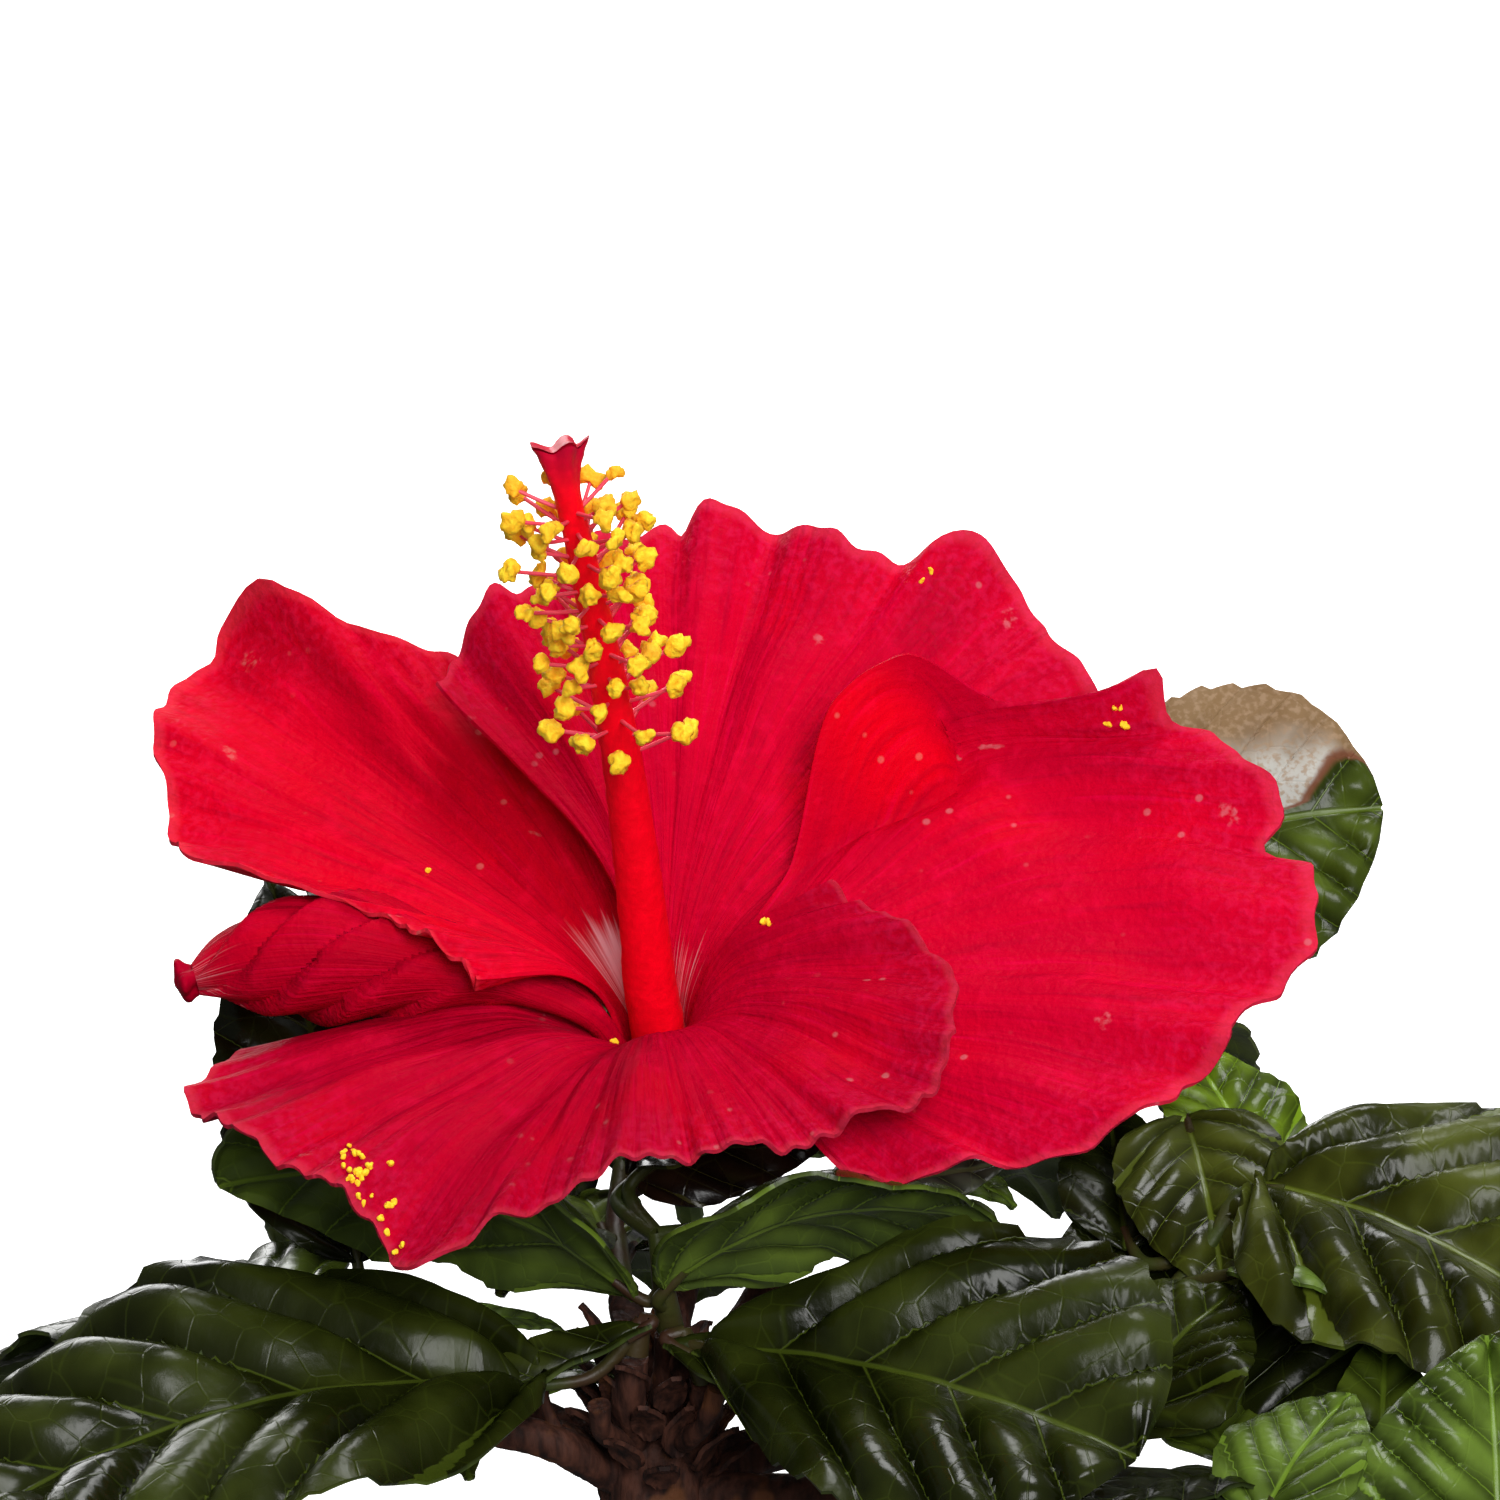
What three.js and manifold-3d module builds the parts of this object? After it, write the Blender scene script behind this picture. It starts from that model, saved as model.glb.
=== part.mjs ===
// A compact hibiscus shrub: a short woody trunk that forks just above the ground, boughs that each
// carry one mass of leaves, and one open red bloom with its staminal column.
// Millimetres, +Z up. The origin is the centre of the flat cut under the trunk, at ground level.
// +X is the bloom's right as it is looked at from the front, and the front of the shrub faces -Y.
import * as THREE from 'three';
import { mergeVertices } from 'three/addons/utils/BufferGeometryUtils.js';
import Module from 'manifold-3d';

const wasm = await Module();
wasm.setup();

// ---------------------------------------------------------------- driving dimensions
const CLEARANCE = 0.3;                    // between two solids that meet
const SLIVER = 0.03;                      // edges shorter than this are merged after a join or a cut
const LEAF_THICKNESS = 0.8;
const PETAL_THICKNESS = 0.7;
const LEAF_ROWS = 6;                      // steps from the foot of a blade to its tip
const LEAF_COLUMNS = 4;                   // steps across a blade
const PETAL_ROWS = 10;
const PETAL_COLUMNS = 13;

const THROAT = new THREE.Vector3(-0.7, 13, 93);            // where the petals' claws meet
const BLOOM_AXIS = new THREE.Vector3(-9, -30.9, 66.3).normalize();
const BLOOM_RIGHT = new THREE.Vector3(1, 0, 0).addScaledVector(BLOOM_AXIS, -BLOOM_AXIS.x).normalize();
const BLOOM_BACK = new THREE.Vector3().crossVectors(BLOOM_AXIS, BLOOM_RIGHT);

// A petal is a fan round the throat. Angles are degrees in the bloom's plane, 0 to the right and
// 90 to the back. The lists run from the petal's clockwise side to its other side: reach is how far
// the margin lies from the throat, tip is how high it stands over the throat. A petal opens from
// its claw to its fan between two places on the way out, 0 at the claw and 1 at the margin.
const PETALS = {
  petal_left: {
    claw: 144, from: 100, to: 200, opens: [0, 0.5], shoulder: 3, lift: 1.6,
    ruffle: 1.5, waves: 5, phase: 0.4,
    reach: [40, 48, 56, 73, 70.5, 61, 52, 30, 24, 19.7, 18.5],
    tip: [6, 11, 12, 8, 7, 8, 10, 8, 6],
  },
  petal_back: {
    claw: 70, from: 23, to: 122, opens: [0.2, 1], shoulder: 6, lift: 1.6,
    ruffle: 1.4, waves: 7, phase: 1,
    reach: [58, 60, 60, 62, 55.5, 55.5, 57, 56.5, 51, 47.5, 46, 41],
    tip: [3, 8, 14, 17, 18, 18, 18, 17, 13],
  },
  petal_right: {
    claw: -11, from: -55, to: 26, opens: [0, 0.5], shoulder: 3.3, lift: 1.6,
    ruffle: 1.2, waves: 6, phase: 2,
    reach: [33, 40, 46.5, 56.5, 61.5, 65, 71.5, 71, 69, 65, 58],
    tip: [-2, -3, -2, 0, 2, 4, 6, 9, 11],
    fold: { height: 12, lean: 14, at: 0.64, spread: 0.24, crease: 0.6 },
  },
  petal_front: {
    claw: -87, from: -181, to: 6, opens: [0, 0.5], shoulder: 4, lift: 0.4,
    ruffle: 1.2, waves: 9, phase: 0,
    reach: [43, 50.5, 48.5, 46.5, 45.5, 49.5, 38, 33, 32.5, 34.3, 36, 40, 38.5, 34.5, 27, 21],
    tip: [-4, 0.5, 4, 4, 3, 4, 5, 4, 4, 5, 7, 8, 9],
  },
};
const CLAW = { radius: 3.7, depth: 13, halfAngle: 27 };
// The two middle handles of the curve from a petal's claw to its margin: how much farther out than
// the claw the first one lies, and the second one's shares of the reach, the shoulder and the tip.
const PETAL_BEND = { step: 0.5, reach: 0.45, shoulder: 0.5, tip: 0.35 };

// The fifth petal stays rolled up: a spindle that lies on the front petal's left side.
const FURLED = {
  reach: [3.7, 7, 13, 21, 32, 43, 52],
  angle: [208, 197, 182, 173, 170, 171, 174],
  height: [-13, -1.5, 2, 2, 2.1, 2, 2],
  radius: [0.6, 0.8, 1.6, 3.2, 5.1, 4.4, 1.2],
};

const COLUMN = { base: -12.5, top: 73, baseRadius: 3.1, topRadius: 1.05, bow: 1.2 };
const STIGMA = { length: 6.5, flare: 2, neck: 1.3, radius: 2.7 };
const STAMENS = {
  count: 34, from: 34, to: 68, slope: 3, turn: 137.5,
  reach: 7.6, shortest: 0.75, spread: 0.4, narrow: 0.35,
  anther: 1.5, filament: 0.4,
};
const CALYX = {
  top: -11.5, floor: -16, shoulder: -24, bottom: -27,
  radius: 5.8, shoulderRadius: 3.4, footRadius: 1.9, flare: 0.4, wall: 0.9,
  teeth: 5, tooth: 4.5, toothSink: 1.5, toothLean: 0.9, toothHalfAngle: 0.5, toothTip: 0.06,
};
const EPICALYX = { bracts: 6, reach: 6.2, height: 9, sink: 2.4, width: 2.2, thickness: 0.6 };
const PEDICEL = { length: 7.2, neck: 3, radius: 1.5, flare: 1.3 };

// The trunk leans back to its fork. Its foot is the flat cut at ground level.
const TRUNK = {
  path: [[0, 0, 0], [0, 0, 2.5], [0.3, 1.2, 12], [-0.4, 3.5, 24], [0.2, 6, 35], [0, 8, 43], [0, 8.6, 47]],
  radii: [9.5, 8.4, 6.6, 5.9, 6.2, 6.6, 4.6],
};
const TRUNK_SIDES = 12;
const BOUGH_SIDES = 7;
const BOUGH_STEPS = 5;

// Each bough is one tapering limb: its path out of the fork and its radius at both ends.
const BOUGHS = {
  bough_bloom: { path: [[0.5, 10, 43], [1, 18, 51], [3.4, 26.2, 59]], radii: [2.8, 2] },
  bough_left: { path: [[-3, 6, 39], [-11, 0.5, 45.5], [-20, 0.8, 47.5]], radii: [2.3, 1.8] },
  bough_front_left: { path: [[-2, 5, 43], [-3, -0.5, 50], [-2.4, -2.2, 56]], radii: [2.2, 1.6] },
  bough_front: { path: [[0.5, 6, 45], [1.4, 4, 52], [1.5, 2.5, 57]], radii: [2.1, 1.6] },
  bough_front_right: { path: [[2.5, 5, 42], [5.2, 0, 49], [5.4, -2, 53]], radii: [2.2, 1.6] },
  bough_right_low: { path: [[3, 5, 38], [22, -1, 40], [42, -5, 41]], radii: [2.6, 1.9] },
  bough_right: { path: [[3, 8, 40], [24, 11, 44], [44, 13, 50]], radii: [2.7, 1.9] },
  bough_back_right: { path: [[3, 10, 42], [8, 17.5, 51], [17, 24.5, 63]], radii: [2.2, 1.6] },
  bough_back: { path: [[-0.5, 10, 38], [-2, 24, 45], [-4, 35, 50]], radii: [2.5, 1.8] },
  bough_back_left: { path: [[-3, 9, 39], [-13, 16, 43], [-23, 22, 45]], radii: [2.4, 1.7] },
};

// A mass is a stem that grows on from its bough's tip, with leaves on short stalks. A leaf is given
// by where its stalk leaves the stem (0 to 1), the foot of its blade, the heading and rise there
// (degrees, heading 0 to the right and 90 to the back), the blade's length and width, how far it
// droops on the way to its tip, its roll about the midrib (right side down), and how much its two
// halves fold up and curl.
const MASSES = {
  leaves_left: {
    stem: [[-2.2, -2.6, 56.8], [-1.4, -2.9, 60.4]],
    leaves: [
      { at: 1, foot: [-12, -5.6, 53.6], heading: -163, rise: 13, length: 68, width: 48, broadest: 0.46,
        droop: 45, roll: -14, fold: 13, curl: -15 },
    ],
  },
  leaves_under_bloom: {
    stem: [[1.5, 2.3, 57.8], [0.8, 0.6, 63], [0, 3, 68]],
    leaves: [
      { at: 0.3, foot: [0.9, -2, 63.6], heading: -4, rise: 44, length: 38.5, width: 29,
        broadest: 0.42, droop: 64, roll: -36, fold: 5, curl: -20 },
      { at: 0.5, foot: [-2.2, 0.4, 61.6], heading: 163, rise: 40, length: 50, width: 33,
        broadest: 0.55, droop: 60, roll: 50, fold: 5, curl: -20 },
      { at: 1, foot: [-1.7, 11, 73.2], heading: -22, rise: 31, length: 26.5, width: 14,
        droop: 30, roll: 5, fold: 12, curl: -20 },
    ],
  },
  leaves_front_right: {
    stem: [[5.3, -2.4, 53.9], [3, -3.9, 59.4]],
    leaves: [
      { at: 1, foot: [4.5, -6, 58.4], heading: -33, rise: 10, length: 54, width: 44, broadest: 0.66,
        droop: 24, roll: 30, fold: 12, curl: -10 },
    ],
  },
  leaves_right: {
    stem: [[44.9, 13.1, 50.3], [54, 17, 55], [62, 23, 63]],
    leaves: [
      { at: 0.1, foot: [49, 3.5, 45.6], heading: 39, rise: 54, length: 22, width: 26,
        droop: 40, roll: 10, fold: 15, curl: -20 },
      { at: 0.05, foot: [35.5, 26, 49.6], heading: 102, rise: 48, length: 17, width: 18,
        droop: 30, roll: 0, fold: 15, curl: -20 },
      { at: 0.3, foot: [51.2, 18.5, 51.6], heading: 104, rise: 43, length: 17, width: 16,
        droop: 10, roll: 0, fold: 15, curl: -20 },
      { at: 0.4, foot: [62, 4.5, 44], heading: 80, rise: 47, length: 30, width: 34,
        droop: 30, roll: 0, fold: 15, curl: -20 },
      { at: 0.8, foot: [51, 24.5, 59.2], heading: 93, rise: 28, length: 25, width: 14,
        droop: 10, roll: 0, fold: 15, curl: -20 },
      { at: 1, foot: [58, 38, 70], heading: -81, rise: -17, length: 27, width: 20,
        droop: 30, roll: 10, fold: 15, curl: -20 },
      { at: 1, foot: [66, 34, 63.5], heading: 112, rise: 41, length: 23, width: 17,
        droop: 30, roll: 0, fold: 15, curl: -20 },
      { at: 0.9, foot: [65.7, 24.4, 66.6], heading: -34, rise: 1, length: 54, width: 44,
        droop: 38, roll: 20, fold: 12, curl: -20 },
    ],
  },
  leaves_right_low: {
    stem: [[42.9, -5.1, 41], [58, -9, 42], [76, -11, 40]],
    leaves: [
      { at: 0.3, foot: [62.9, -8.9, 44], heading: -140, rise: 20, length: 26, width: 20,
        droop: 30, roll: 10, fold: 12, curl: -20 },
      { at: 0.6, foot: [63.2, -24, 45.5], heading: 52, rise: 45, length: 19, width: 18,
        droop: 30, roll: 0, fold: 15, curl: -20 },
      { at: 0.9, foot: [76.5, -9, 40.5], heading: 84, rise: 56, length: 23, width: 12,
        droop: 20, roll: 0, fold: 15, curl: -20 },
      { at: 1, foot: [88, -25, 37], heading: 95, rise: 78, length: 28, width: 34,
        droop: 24, roll: 0, fold: 15, curl: -20 },
    ],
  },
  leaves_back_right: {
    stem: [[17.5, 25.1, 63.8], [28, 33, 75], [38, 40, 86]],
    leaves: [
      { at: 1, foot: [46.4, 44.7, 95], heading: 5, rise: 25, length: 34.5, width: 34,
        broadest: 0.56, droop: 24, roll: 60, fold: 5, curl: -15 },
    ],
    spray: { count: 4, middle: 78, fan: 30, rise: [-12, 12], length: 52, stalk: 11, seed: 3 },
  },
  leaves_back: {
    stem: [[-4.2, 35.7, 50.4], [-5, 47, 55], [-4, 56, 62]],
    leaves: [],
    spray: { count: 5, middle: 92, fan: 48, rise: [-15, 30], length: 54, stalk: 10, seed: 11 },
  },
  leaves_back_left: {
    stem: [[-23.7, 22.4, 45.1], [-31, 27, 46], [-37, 31, 46]],
    leaves: [
      { at: 0.5, foot: [-33, 27, 57], heading: 112, rise: 62, length: 46, width: 26,
        droop: 20, roll: 0, fold: 8, curl: -15 },
    ],
    spray: { count: 4, middle: 146, fan: 34, rise: [-12, 2], length: 50, stalk: 9, seed: 5 },
  },
  leaves_left_low: {
    stem: [[-20.8, 0.9, 47.8], [-28, 4, 47], [-34, 7, 44]],
    leaves: [],
    spray: { count: 3, middle: 174, fan: 24, rise: [-22, -5], length: 46, stalk: 8, seed: 10 },
  },
};
const SPRAY_LEAF = {
  shortest: 0.85, spread: 0.3, slim: 0.66, broadest: 0.37,
  droop: 42, roll: 24, fold: 12, curl: -15,
};
const BLADE_FULLNESS = 1.5;
const BLADE_NARROWEST = 0.6;                               // half the width at the foot and the tip
const MARGIN_WAVE = { height: 0.03, count: 2.5, shift: 1.3 };   // height as a share of the width
const STEM_RADII = [1.5, 0.9];
const STALK = { radii: [0.9, 0.75, 0.6], knee: 0.3, bow: 0.25, sink: 1.2 };

// ---------------------------------------------------------------- small maths
const toRadians = THREE.MathUtils.degToRad;
const smooth = (low, high, x) => THREE.MathUtils.smoothstep(x, low, high);
const vector = ([x, y, z]) => new THREE.Vector3(x, y, z);

/** A smooth curve through equally spaced values, at a place from 0 to 1 along them. */
function along(values, place) {
  const spot = THREE.MathUtils.clamp(place, 0, 1) * (values.length - 1);
  const i = Math.min(Math.floor(spot), values.length - 2);
  const f = spot - i;
  const a = values[Math.max(i - 1, 0)];
  const b = values[i];
  const c = values[i + 1];
  const d = values[Math.min(i + 2, values.length - 1)];
  return b + 0.5 * f * (c - a + f * (2 * a - 5 * b + 4 * c - d + f * (3 * (b - c) + d - a)));
}

/** A repeatable value from 0 to 1 for a whole number. */
function scatter(number) {
  const value = Math.sin(number * 12.9898) * 43758.5453;
  return value - Math.floor(value);
}

/** The point at a place from 0 to 1 along a path of points. */
function pointAlong(path, place) {
  return new THREE.Vector3(...[0, 1, 2].map((axis) => along(path.map((point) => point[axis]), place)));
}

/** The direction with a heading and a rise in radians. */
function direction(heading, rise) {
  const flat = Math.cos(rise);
  return new THREE.Vector3(flat * Math.cos(heading), flat * Math.sin(heading), Math.sin(rise));
}

// ---------------------------------------------------------------- closed shapes
/** A closed geometry from a list of points and the corners of its triangles. */
function closedGeometry(points, corners) {
  const geometry = new THREE.BufferGeometry();
  geometry.setAttribute('position', new THREE.Float32BufferAttribute(points.flatMap((p) => p.toArray()), 3));
  geometry.setIndex(corners);
  return geometry;
}

/** Two triangles for each cell between rings or rows that hold the same number of points. */
function cell(corners, a, b, c, d) {
  corners.push(a, b, c, a, c, d);
}

/** A limb: rings of points round a path, closed by a flat cap at each end. */
function limb(path, radii, sides, grow = 0) {
  const points = [];
  const corners = [];
  const last = path.length - 1;
  const side = new THREE.Vector3(1, 0.17, 0.05);      // any direction that no limb here runs along
  path.forEach((centre, i) => {
    const forward = path[Math.min(i + 1, last)].clone().sub(path[Math.max(i - 1, 0)]);
    if (i === 0) {
      forward.copy(path[1]).sub(path[0]);
    }
    forward.normalize();
    side.addScaledVector(forward, -side.dot(forward)).normalize();
    const other = new THREE.Vector3().crossVectors(forward, side);
    const radius = radii[i] + grow;
    for (let k = 0; k < sides; k += 1) {
      const turn = (2 * Math.PI * k) / sides;
      points.push(centre.clone()
        .addScaledVector(side, radius * Math.cos(turn))
        .addScaledVector(other, radius * Math.sin(turn)));
    }
  });
  for (let i = 0; i < last; i += 1) {
    for (let k = 0; k < sides; k += 1) {
      const next = (k + 1) % sides;
      const low = i * sides;
      const high = low + sides;
      cell(corners, low + k, low + next, high + next, high + k);
    }
  }
  for (let k = 1; k < sides - 1; k += 1) {
    corners.push(0, k + 1, k);
    corners.push(last * sides, last * sides + k, last * sides + k + 1);
  }
  return closedGeometry(points, corners);
}

/** A limb along a path of a few points, bent smoothly, with its radius going from end to end. */
function taperedLimb(path, radii, sides, steps, grow = 0) {
  const places = Array.from({ length: steps + 1 }, (_, i) => i / steps);
  const centres = places.map((place) => pointAlong(path, place));
  return limb(centres, places.map((place) => along(radii, place)), sides, grow);
}

/** A sheet: rows of points given the sheet's thickness, half to each face. */
function sheet(rows, thickness) {
  const lastRow = rows.length - 1;
  const lastColumn = rows[0].length - 1;
  const width = lastColumn + 1;
  const upper = [];
  const lower = [];
  rows.forEach((row, i) => row.forEach((point, j) => {
    const ahead = rows[Math.min(i + 1, lastRow)][j].clone().sub(rows[Math.max(i - 1, 0)][j]);
    const across = row[Math.min(j + 1, lastColumn)].clone().sub(row[Math.max(j - 1, 0)]);
    const normal = across.cross(ahead).normalize().multiplyScalar(thickness / 2);
    upper.push(point.clone().add(normal));
    lower.push(point.clone().sub(normal));
  }));
  const corners = [];
  const under = upper.length;
  for (let i = 0; i < lastRow; i += 1) {
    for (let j = 0; j < lastColumn; j += 1) {
      const here = i * width + j;
      const next = here + width;
      cell(corners, here, here + 1, next + 1, next);
      cell(corners, under + here, under + next, under + next + 1, under + here + 1);
    }
    const left = i * width;
    const right = left + lastColumn;
    cell(corners, left, left + width, under + left + width, under + left);
    cell(corners, right + width, right, under + right, under + right + width);
  }
  for (let j = 0; j < lastColumn; j += 1) {
    const far = lastRow * width + j;
    cell(corners, j + 1, j, under + j, under + j + 1);
    cell(corners, far, far + 1, under + far + 1, under + far);
  }
  return closedGeometry(upper.concat(lower), corners);
}

// ---------------------------------------------------------------- solids that are joined and cut
function toSolid(geometry) {
  const plain = geometry.clone();
  plain.deleteAttribute('normal');
  plain.deleteAttribute('uv');
  const merged = mergeVertices(plain, 1e-4);
  return new wasm.Manifold(new wasm.Mesh({
    numProp: 3,
    vertProperties: new Float32Array(merged.attributes.position.array),
    triVerts: new Uint32Array(merged.index.array),
  }));
}

function toGeometry(solid) {
  const mesh = solid.getMesh();
  const geometry = new THREE.BufferGeometry();
  geometry.setAttribute('position', new THREE.BufferAttribute(new Float32Array(mesh.vertProperties), 3));
  geometry.setIndex(new THREE.BufferAttribute(new Uint32Array(mesh.triVerts), 1));
  return geometry;
}

/** The largest of a solid's bodies: a scrap that a cut leaves loose is dropped. */
function largestBody(solid) {
  return solid.decompose().reduce((best, body) => (body.volume() > best.volume() ? body : best));
}

/** One solid from several geometries that cross, cut clear of the solids it must not touch. */
function fuse(geometries, cutters = []) {
  const joined = geometries.map(toSolid).reduce((sum, solid) => sum.add(solid));
  const cut = cutters.reduce((rest, cutter) => rest.subtract(cutter), joined);
  return largestBody(cut).simplify(SLIVER);
}

// ---------------------------------------------------------------- leaves
/** How wide a blade is at a place from its foot to its tip, as a share of its greatest width. */
function bladeWidth(place, broadest) {
  const rise = BLADE_FULLNESS * broadest;
  const fall = BLADE_FULLNESS * (1 - broadest);
  return (place ** rise * (1 - place) ** fall) / (broadest ** rise * (1 - broadest) ** fall);
}

/** The frame of a blade at a place along its midrib: forward, right and up. */
function bladeFrame(leaf, place) {
  const heading = toRadians(leaf.heading);
  const rise = toRadians(leaf.rise - leaf.droop * place);
  const forward = direction(heading, rise);
  const up = direction(heading, rise + Math.PI / 2);
  const right = new THREE.Vector3().crossVectors(forward, up);
  up.applyAxisAngle(forward, toRadians(leaf.roll));
  right.applyAxisAngle(forward, toRadians(leaf.roll));
  return { forward, right, up };
}

/** The points of a blade's midrib, found by walking from its foot to its tip. */
function midrib(leaf, rows) {
  const substeps = 4;
  const point = vector(leaf.foot);
  const points = [point.clone()];
  for (let i = 0; i < rows * substeps; i += 1) {
    const { forward } = bladeFrame(leaf, (i + 0.5) / (rows * substeps));
    point.addScaledVector(forward, leaf.length / (rows * substeps));
    if ((i + 1) % substeps === 0) {
      points.push(point.clone());
    }
  }
  return points;
}

/** Rows of points over a blade, from its foot to its tip and from its left side to its right. */
function bladeRows(leaf) {
  const fold = toRadians(leaf.fold);
  const curl = toRadians(leaf.curl);
  return midrib(leaf, LEAF_ROWS).map((centre, i) => {
    const place = i / LEAF_ROWS;
    const { right, up } = bladeFrame(leaf, place);
    const breadth = bladeWidth(place, leaf.broadest ?? SPRAY_LEAF.broadest);
    const half = Math.max((leaf.width / 2) * breadth, BLADE_NARROWEST);
    return Array.from({ length: LEAF_COLUMNS + 1 }, (_, j) => {
      const across = (2 * j) / LEAF_COLUMNS - 1;
      const share = Math.abs(across);
      const outward = (half * (Math.sin(fold + curl * share) - Math.sin(fold))) / curl;
      const upward = (half * (Math.cos(fold) - Math.cos(fold + curl * share))) / curl;
      const swell = 2 * Math.PI * MARGIN_WAVE.count * place + (across < 0 ? MARGIN_WAVE.shift : 0);
      const wave = MARGIN_WAVE.height * leaf.width * share ** 2 * Math.sin(swell) * breadth;
      return centre.clone()
        .addScaledVector(right, Math.sign(across) * outward)
        .addScaledVector(up, upward + wave);
    });
  });
}

/** The leaves that a mass's spray rule grows: dealt out round the stem from its foot to its tip. */
function sprayLeaves({ stem, spray }) {
  if (!spray) {
    return [];
  }
  const goldenShare = 0.618;
  const drawsPerLeaf = 7;
  return Array.from({ length: spray.count }, (_, i) => {
    const chance = (k) => scatter(spray.seed + drawsPerLeaf * i + k);
    const share = (i * goldenShare + 0.5 * chance(0)) % 1;
    const heading = spray.middle + spray.fan * (2 * share - 1);
    const place = (i + 1) / spray.count;
    const rise = spray.rise[0] + (spray.rise[1] - spray.rise[0]) * place;
    const length = spray.length * (SPRAY_LEAF.shortest + SPRAY_LEAF.spread * chance(1));
    const foot = pointAlong(stem, place)
      .addScaledVector(direction(toRadians(heading), toRadians(rise)), spray.stalk);
    return {
      at: place, foot: foot.toArray(), heading, rise, length, width: SPRAY_LEAF.slim * length,
      droop: SPRAY_LEAF.droop, roll: SPRAY_LEAF.roll * (chance(2) - 0.5),
      fold: SPRAY_LEAF.fold, curl: SPRAY_LEAF.curl,
    };
  });
}

/** A leaf's stalk: it bows out of its stem and comes into the foot of the blade along the midrib. */
function stalk(leaf, stem) {
  const start = pointAlong(stem, leaf.at);
  const foot = vector(leaf.foot);
  const { forward } = bladeFrame(leaf, 0);
  const reach = foot.distanceTo(start);
  const knee = foot.clone().addScaledVector(forward, -STALK.knee * reach).lerp(start, STALK.bow);
  const end = foot.addScaledVector(forward, STALK.sink);
  return taperedLimb([start, knee, end].map((point) => point.toArray()), STALK.radii, 3, 3);
}

function massSolid(mass, cutters) {
  const leaves = [...mass.leaves, ...sprayLeaves(mass)];
  const pieces = [taperedLimb(mass.stem, STEM_RADII, 5, 4)];
  leaves.forEach((leaf) => {
    pieces.push(stalk(leaf, mass.stem), sheet(bladeRows(leaf), LEAF_THICKNESS));
  });
  return fuse(pieces, cutters);
}

// ---------------------------------------------------------------- bloom
/** A point in the bloom's own measure: reach from the throat, angle in its plane, height over it. */
function bloomPoint(reach, angle, height) {
  return THROAT.clone()
    .addScaledVector(BLOOM_RIGHT, reach * Math.cos(angle))
    .addScaledVector(BLOOM_BACK, reach * Math.sin(angle))
    .addScaledVector(BLOOM_AXIS, height);
}

/** A point of a petal: place from the claw to the margin, side from 0 to 1 across the fan. */
function petalPoint(petal, place, side) {
  const across = 2 * side - 1;
  const reach = along(petal.reach, side);
  const tip = along(petal.tip, side);
  const back = 1 - place;
  const weights = [back ** 3, 3 * place * back ** 2, 3 * place ** 2 * back, place ** 3];
  const reaches = [CLAW.radius, CLAW.radius + PETAL_BEND.step, PETAL_BEND.reach * reach, reach];
  const turned = PETAL_BEND.shoulder * petal.shoulder + PETAL_BEND.tip * tip;
  const heights = [-CLAW.depth, petal.shoulder, turned, tip];
  const weigh = (values) => values.reduce((sum, value, i) => sum + value * weights[i], 0);
  const clawAngle = petal.claw + CLAW.halfAngle * across;
  const fanAngle = petal.from + (petal.to - petal.from) * side;
  const opened = smooth(petal.opens[0], petal.opens[1], place);
  const angle = toRadians(THREE.MathUtils.lerp(clawAngle, fanAngle, opened));
  const lift = petal.lift * across * smooth(0.02, 0.3, place);
  const swell = Math.sin(2 * Math.PI * petal.waves * side + petal.phase);
  const ruffle = petal.ruffle * place ** 4 * swell;
  let raised = 0;
  let leant = 0;
  if (petal.fold) {
    const spread = (place - petal.fold.at) / petal.fold.spread;
    const bell = Math.exp(-(spread ** 2));
    raised = petal.fold.height * bell * smooth(petal.fold.crease, 1, across);
    leant = toRadians(petal.fold.lean) * bell * smooth(0, petal.fold.crease, across);
  }
  return bloomPoint(weigh(reaches), angle + leant, weigh(heights) + lift + ruffle + raised);
}

function petalGeometry(petal) {
  const rows = Array.from({ length: PETAL_ROWS + 1 }, (_, i) => (
    Array.from({ length: PETAL_COLUMNS + 1 }, (__, j) => (
      petalPoint(petal, i / PETAL_ROWS, 1 - j / PETAL_COLUMNS)))));
  return sheet(rows, PETAL_THICKNESS);
}

function furledGeometry() {
  const steps = 12;
  const places = Array.from({ length: steps + 1 }, (_, i) => i / steps);
  const centres = places.map((place) => bloomPoint(
    along(FURLED.reach, place),
    toRadians(along(FURLED.angle, place)),
    along(FURLED.height, place),
  ));
  return limb(centres, places.map((place) => along(FURLED.radius, place)), 9);
}

/** The point at a height up the staminal column, which bows a little to the right. */
function columnPoint(height) {
  const share = THREE.MathUtils.clamp(height / COLUMN.top, 0, 1);
  return bloomPoint(COLUMN.bow * Math.sin(Math.PI * share), 0, height);
}

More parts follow.
